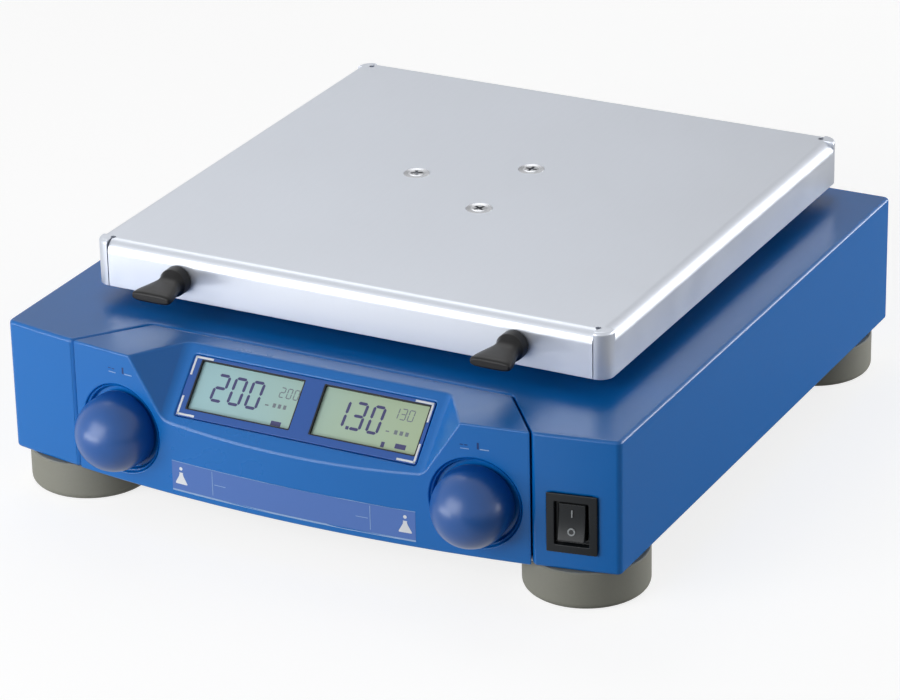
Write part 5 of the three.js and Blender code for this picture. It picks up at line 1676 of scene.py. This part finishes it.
@dataclass
class Tray:
    """The folded steel tray with its screws and thumb screws."""

    sheet: float = 2.0
    bend: float = 5.2
    far_bend: float = 3.2
    corner: float = 6.0
    least_corner: float = 0.4
    grow: float = 1.0
    steps: int = 8
    burr: float = 0.25
    seam_x: float = 107.7
    seam_width: float = 0.45
    seam_reach: float = 4.4
    seam_tool: float = 60.0
    margin: float = 0.4
    tab_round: float = 1.3
    tab_reach: float = 6.9
    relief: float = 1.15
    relief_in: float = 5.1
    relief_tool: float = 8.0
    screw_circle: float = 27.5
    screw_turns: tuple[int, ...] = (60, 180, 300)
    screw_sides: int = 48
    hole_sides: int = 40
    countersink: tuple[Point2, ...] = ((2.9, -5.0), (2.9, -3.0), (5.75, -0.05), (5.75, 1.0))
    screw: tuple[Point2, ...] = (
        (0.0, -14.0), (2.6, -14.0), (2.6, -3.0), (5.6, -0.3), (5.35, 0.0),
        (4.6, -0.1), (3.5, -0.25), (3.1, 0.0), (0.0, 0.0),
    )
    screw_sink: float = 0.02
    cross: Point3 = (5.0, 1.15, 1.5)
    cross_turns: Point2 = (0.5, 0.55)
    thumb_x: float = 74.8
    thumb_drop: float = 10.6
    thumb_hole: float = 2.8
    stem: float = 2.4
    stem_levels: Point2 = (-0.4, 13.0)
    squareness: float = 1.6
    grip: tuple[tuple[float, float, float, float], ...] = (
        (0.2, 5.5, 5.5, 0.0), (0.5, 5.9, 5.9, 0.0), (4.6, 5.9, 5.9, 0.0), (5.2, 5.5, 5.5, 0.1),
        (6.4, 5.0, 3.9, 0.4), (8.0, 5.2, 2.9, 0.7), (10.5, 6.0, 2.5, 1.0), (14.0, 7.2, 2.4, 1.0),
        (18.0, 8.3, 2.3, 1.0), (20.4, 8.6, 2.2, 1.0), (21.2, 8.5, 2.0, 1.0), (21.7, 8.2, 1.6, 1.0),
        (21.9, 7.7, 1.0, 1.0),
    )
    low: Vector = field(init=False)
    high: Vector = field(init=False)
    hub: Vector = field(init=False)

    def __post_init__(self) -> None:
        """Reads the tray's box and the hub's place from the frame."""
        self.low, self.high = box_of("tray")
        self.hub = joint_place("tray_orbit")

    @property
    def middle(self) -> Vector:
        """Gives the tray's centre."""
        return (self.low + self.high) / 2

    @property
    def half(self) -> float:
        """Gives half the tray's side."""
        return (self.high.x - self.low.x) / 2 + self.grow

    def thumb_place(self, side: int) -> Matrix:
        """Gives the place of one thumb screw on the front flange's face."""
        face = self.low.y - self.grow
        return Matrix.Translation((side * self.thumb_x, face, self.high.z - self.thumb_drop))

    def quarter(self, inset: float, drawn: float, across: bool) -> list[tuple[Point2, bool]]:
        """Gives the outline of one side, turned to the right, and of the corner after it.

        Args:
            inset: How far the skin lies inside the tray's outside.
            drawn: How much further in the corner's upright tab lies at this level.
            across: Whether the side is the front or the rear one, which ends at the seams.

        Returns:
            Each point, and whether it belongs to a tab.
        """
        half, rim = self.half - inset, self.half - inset - drawn
        reach, slot = self.half - self.tab_reach, self.seam_width / 2
        corner = max(self.corner - inset - drawn, self.least_corner)
        bend = arc(rim - corner, rim - corner, corner, 0, 90, self.steps)
        if across:
            flat = [(half, slot - self.seam_x), (half, self.seam_x - slot)]
            tab = [(rim, self.seam_x + slot), *bend, (reach + self.burr, rim)]
        else:
            flat = [(half, -reach), (half, reach)]
            tab = [(rim, reach + self.burr), *bend, (self.seam_x + slot, rim)]
        return [(point, False) for point in flat] + [(point, True) for point in tab]

    def ring(self, inset: float, level: float, margin: float = 0.0) -> list[Vector]:
        """Gives the tray's outline at one level, with the bends drawn in and the tabs upright.

        Args:
            inset: How far the skin lies inside the tray's outside.
            level: The height of the outline.
            margin: How much further in the whole outline lies.

        Returns:
            The points of the outline.
        """
        top = self.high.z - inset

        def drawn(radius: float) -> float:
            """Gives how far a bend of this radius has left the flange at the level."""
            rise = min(max(level - top + radius, 0.0), radius)
            return radius - math.sqrt(radius ** 2 - rise ** 2)

        near, far = (self.half - inset - margin - drawn(bend - inset) for bend in (self.bend, self.far_bend))
        rim = drawn(max(self.tab_round - inset, 0.01)) + margin
        points = []
        for turn in range(4):
            spin = Matrix.Rotation(math.pi / 2 * turn, 2)
            for point, tab in self.quarter(inset, rim, turn % 2 == 1):
                place = spin @ Vector(point)
                if not tab:
                    place = Vector((min(max(place.x, -far), near), min(max(place.y, -near), far)))
                points.append(Vector((place.x + self.middle.x, place.y + self.middle.y, level)))
        return points

    def skin(self, inset: float) -> Stock:
        """Makes the tray as a solid, drawn in by an inset, with its four bends."""
        top, foot = self.high.z - inset, self.low.z - inset
        levels = {
            round(top - (bend - inset) * (1 - math.sin(math.pi / 2 * step / self.steps)), 3)
            for bend in (self.bend, self.far_bend, max(self.tab_round, inset + 0.5))
            for step in range(self.steps + 1)
        }
        rings = [self.ring(inset + self.burr, foot)]
        rings += [self.ring(inset, level) for level in (foot + self.burr, *sorted(levels))]
        return loft([*rings, self.ring(inset, top, self.margin)])

    def seams(self) -> list[Stock]:
        """Makes the slots beside the corner tabs and the relief holes at their ends."""
        made, top = [], self.high.z
        for _, side in SIDES:
            for end in (-1, 1):
                place = Vector((self.middle.x + side * self.seam_x, self.middle.y + end * self.half, 0))
                slot = block((self.seam_width, self.seam_reach * 2, self.seam_tool), place)
                made.append(slot.placed(Matrix.Translation((0, 0, top))))
                hole = circle(self.relief, place.x, place.y - end * self.relief_in, 24)
                made.append(prism(hole, top - self.relief_tool, top + 1))
        return made

    def holes(self) -> list[Stock]:
        """Makes the countersinks of the three screws and the thumb screws' holes."""
        made, top = [], self.high.z
        for turn in self.screw_turns:
            x = self.hub.x + self.screw_circle * math.cos(math.radians(turn))
            y = self.hub.y + self.screw_circle * math.sin(math.radians(turn))
            made.append(loft([
                [Vector((px, py, top + rise)) for px, py in circle(radius, x, y, self.hole_sides)]
                for radius, rise in self.countersink
            ]))
        for _, side in SIDES:
            hole = prism(circle(self.thumb_hole, steps=32), -self.sheet * 2, self.sheet * 2)
            made.append(hole.placed(self.thumb_place(side) @ UPRIGHT))
        return made

    def pan(self) -> None:
        """Makes the folded pan."""
        pan = self.skin(0.0)
        pan.cut(self.skin(self.sheet), *self.seams(), *self.holes())
        pan.piece("tray_pan", TRAY_STEEL, "tray", "tray_steel", "tray")

    def screws(self, ring: Recipe) -> None:
        """Makes the three countersunk screws as one mesh."""
        span, width, depth = self.cross
        made = ring.run(
            profile(self.screw), BRIGHT_STEEL.material(), Rows=len(self.screw), Sides=self.screw_sides,
            Count=len(self.screw_turns), Circle=self.screw_circle, Cross_Span=span, Cross_Width=width,
            Cross_Depth=depth, First_Turn=self.cross_turns[0], Turn_Step=self.cross_turns[1],
        )
        place = Matrix.Translation((self.hub.x, self.hub.y, self.high.z - self.screw_sink))
        made.placed(place @ Matrix.Rotation(math.radians(self.screw_turns[0]), 4, "Z"))
        made.piece("tray_screws", BRIGHT_STEEL, "tray", "bright_steel",
                   "tray_screw_right_rear", "tray_screw_left", "tray_screw_right_front")

    def grip_ring(self, out: float, wide: float, tall: float, flat: float) -> list[Vector]:
        """Gives one section of a thumb screw's blade.

        Args:
            out: How far it stands out of the flange.
            wide: Half its width.
            tall: Half its height.
            flat: How square it is, from 0, round, to 1.

        Returns:
            The points of the section.
        """
        power = 2 / (2 + self.squareness * flat)
        points = []
        for x, z in circle(1.0, steps=48):
            across, up = (math.copysign(abs(part) ** power, part) for part in (x, z))
            points.append(Vector((across * wide, -out, up * tall)))
        return points

    def grips(self) -> None:
        """Makes the two thumb screws, whose blades widen from a round collar to the tip."""
        for label, side in SIDES:
            blade = loft([self.grip_ring(*station) for station in self.grip])
            stem = prism(circle(self.stem, steps=32), *self.stem_levels)
            stem.placed(Matrix.Rotation(-math.pi / 2, 4, "X"))
            grip = blade.join(stem).placed(self.thumb_place(side))
            grip.piece(f"{label}_thumb_grip", BLACK_PLASTIC, f"{label}_thumb", "black_plastic",
                       f"{label}_thumb_screw")

    def build(self, ring: Recipe) -> None:
        """Builds the tray and its screws."""
        self.pan()
        self.screws(ring)
        self.grips()


def dress_frame() -> None:
    """Gives every CAD node that still shows the finish of its material slot."""
    slots = {part["node"]: part["material_slot"] for part in frame["record"]["subparts"]}
    for name, thing in frame["nodes"].items():
        finish = SLOT_FINISHES[slots[name]].material()
        thing.data.materials.clear()
        thing.data.materials.append(finish)


# Studio


@dataclass(frozen=True)
class Lamp:
    """A soft rectangular lamp: the way to it from the object, its distance, size and radiance."""

    name: str
    toward: Point3
    distance: float
    size: Point2
    radiance: float


LAMPS = (
    Lamp("low left key", (-0.575, -0.816, -0.05), 600.0, (380.0, 60.0), 10.5),
    Lamp("front left", (-0.38, -0.86, 0.33), 1400.0, (1100.0, 760.0), 3.6),
    Lamp("overhead", (-0.4, 0.52, 0.76), 2600.0, (1300.0, 1300.0), 1.5),
    Lamp("right rear strip", (0.48, 0.81, 0.32), 1500.0, (400.0, 500.0), 1.2),
    Lamp("right fill", (0.78, 0.62, 0.04), 1400.0, (1400.0, 460.0), 8.5),
)


@dataclass
class Studio:
    """Floor, soft lamps, world and camera."""

    room: float = 0.15
    card: Point3 = (-0.3, 0.82, 0.42)
    card_edge: float = 22.0
    card_depth: float = 0.55
    floor_reach: float = 4000.0
    floor_drop: float = 0.05
    floor_tone: float = 0.35
    floor_change: float = 0.02
    floor_cloud: float = 3.0
    floor_glow: float = 0.8
    floor_gloss: float = 0.75
    # Painted shadow in the floor's gloss at the object's right: its depth, where it comes in and where it
    # fades out
    reflected_shadow: float = 0.85
    reflected_shadow_from: Point2 = (80.0, 150.0)
    reflected_shadow_until: Point2 = (250.0, 900.0)
    azimuth: float = 27.93
    elevation: float = 24.082
    roll: float = -1.235
    shift: Point2 = (5.595, 18.521)
    distance: float = 1671.1
    focal: float = 161.623
    sensor: float = 36.0
    clip: float = 50.0
    target: Vector = field(default_factory=lambda: Vector((0.0, 11.941, 50.0)))

    def camera(self) -> None:
        """Sets the camera at the photograph's viewpoint."""
        az, el, roll = (math.radians(angle) for angle in (self.azimuth, self.elevation, self.roll))
        back = Vector((math.sin(az) * math.cos(el), -math.cos(az) * math.cos(el), math.sin(el)))
        right = Vector((math.cos(az), math.sin(az), 0.0))
        up = back.cross(right)
        across = right * math.cos(roll) + up * math.sin(roll)
        upright = up * math.cos(roll) - right * math.sin(roll)
        place = self.target - across * self.shift[0] - upright * self.shift[1] + back * self.distance
        turn = Matrix((across, upright, back)).transposed().to_4x4()
        data = bpy.data.cameras.new("camera")
        data.lens = self.focal
        data.sensor_width = self.sensor
        data.clip_start = self.clip * MM
        thing = bpy.data.objects.new("camera", data)
        bpy.context.scene.collection.objects.link(thing)
        thing.matrix_world = Matrix.Translation(place * MM) @ turn
        bpy.context.scene.camera = thing

    def hang(self, lamp: Lamp) -> None:
        """Hangs a soft rectangular lamp that faces the object."""
        data = bpy.data.lights.new(lamp.name, "AREA")
        data.shape = "RECTANGLE"
        data.size, data.size_y = lamp.size[0] * MM, lamp.size[1] * MM
        data.energy = lamp.radiance * math.pi * data.size * data.size_y
        thing = bpy.data.objects.new(lamp.name, data)
        thing.visible_camera = False
        bpy.context.scene.collection.objects.link(thing)
        toward = Vector(lamp.toward).normalized()
        spot = self.target + toward * lamp.distance
        turn = toward.to_track_quat("Z", "Y").to_matrix().to_4x4()
        thing.matrix_world = Matrix.Translation(spot * MM) @ turn

    def seen(self, graph: Graph) -> tuple[Wire, Wire]:
        """Gives what is one for camera and transmission rays, and what is one for glossy rays."""
        path = graph.node("ShaderNodeLightPath").socket.node.outputs
        camera, through = Wire(graph, path["Is Camera Ray"]), Wire(graph, path["Is Transmission Ray"])
        return camera.math("MAXIMUM", camera, through), Wire(graph, path["Is Glossy Ray"])

    def world(self) -> None:
        """Lights the room softly, and is white to the camera and, but for one dark card, to gloss."""
        made = bpy.data.worlds.new("studio")
        bpy.context.scene.world = made
        made.use_nodes = True
        graph = Graph(made.node_tree)
        surface = made.node_tree.nodes["Background"]
        white, gloss = self.seen(graph)
        way = graph.node("ShaderNodeTexCoord", {}, {}, "Generated")
        toward = graph.node("ShaderNodeVectorMath", {"operation": "DOT_PRODUCT"},
                            {0: way, 1: Vector(self.card).normalized()}, "Value")
        card = toward.math("POWER", toward.math("MAXIMUM", toward, 0.0), self.card_edge)
        rest = 1 - self.room
        level = self.room + white * rest + gloss * rest * (1 - card * self.card_depth)
        made.node_tree.links.new(level.socket, surface.inputs["Strength"])
        surface.inputs["Color"].default_value = (1.0, 1.0, 1.0, 1.0)

    def floor(self) -> None:
        """Lays a floor that keeps the shadow, white to the camera, and with a painted shadow in gloss at the
        object's right.
        """
        shape = bmesh.new()
        bmesh.ops.create_grid(shape, x_segments=1, y_segments=1, size=self.floor_reach)
        sheet = Stock(shape).thing
        sheet.name = "floor"
        sheet.data.transform(Matrix.Translation((0.0, 0.0, -self.floor_drop * MM)) @ Matrix.Scale(MM, 4))
        made = bpy.data.materials.new("floor white")
        made.use_nodes = True
        graph = Graph(made.node_tree)
        out = made.node_tree.nodes["Material Output"]
        made.node_tree.nodes.remove(made.node_tree.nodes["Principled BSDF"])
        white, gloss = self.seen(graph)
        place = graph.node("ShaderNodeTexCoord", {}, {}, "Object")
        across = graph.node("ShaderNodeSeparateXYZ", {}, {0: place}, 0)
        # In gloss the floor is darkened in a band at the object's right that fades further out: a painted
        # shadow of the object
        beside, beyond = (
            graph.ease(across, start * MM, end * MM) for start, end in (self.reflected_shadow_from, self.reflected_shadow_until)
        )
        mirror_with_painted_shadow = gloss * (1 - self.reflected_shadow * beside * (1 - beyond)) * self.floor_gloss
        tones = (self.floor_tone, self.floor_tone + self.floor_change)
        pale, paler = ((tone, tone, tone, 1.0) for tone in tones)
        cloud = graph.noise(place, self.floor_cloud)
        matt = graph.node("ShaderNodeBsdfDiffuse", {}, {"Color": graph.mix(cloud, pale, paler)})
        lit = graph.node("ShaderNodeEmission", {}, {"Strength": white * self.floor_glow + mirror_with_painted_shadow})
        both = graph.node("ShaderNodeAddShader", {}, {0: matt, 1: lit})
        made.node_tree.links.new(both.socket, out.inputs["Surface"])
        sheet.data.materials.append(made)

    def build(self) -> None:
        """Sets up the whole studio."""
        self.camera()
        self.world()
        self.floor()
        for lamp in LAMPS:
            self.hang(lamp)
        bpy.context.scene.view_settings.view_transform = "Standard"


def main() -> None:
    """Builds the scene in order."""
    logging.basicConfig(level=logging.INFO, format="%(name)s %(message)s")
    Studio().build()
    dress_frame()
    grid, ring = turned_grid(), crossed_ring()
    front = Front()
    panel = Panel(front)
    panel.build(grid)
    Housing(front, panel).build(grid)
    Switch(front).build()
    Inlet(front).build()
    Serial(front).build(grid)
    Tray().build(ring)


if __name__ == "__main__":
    main()
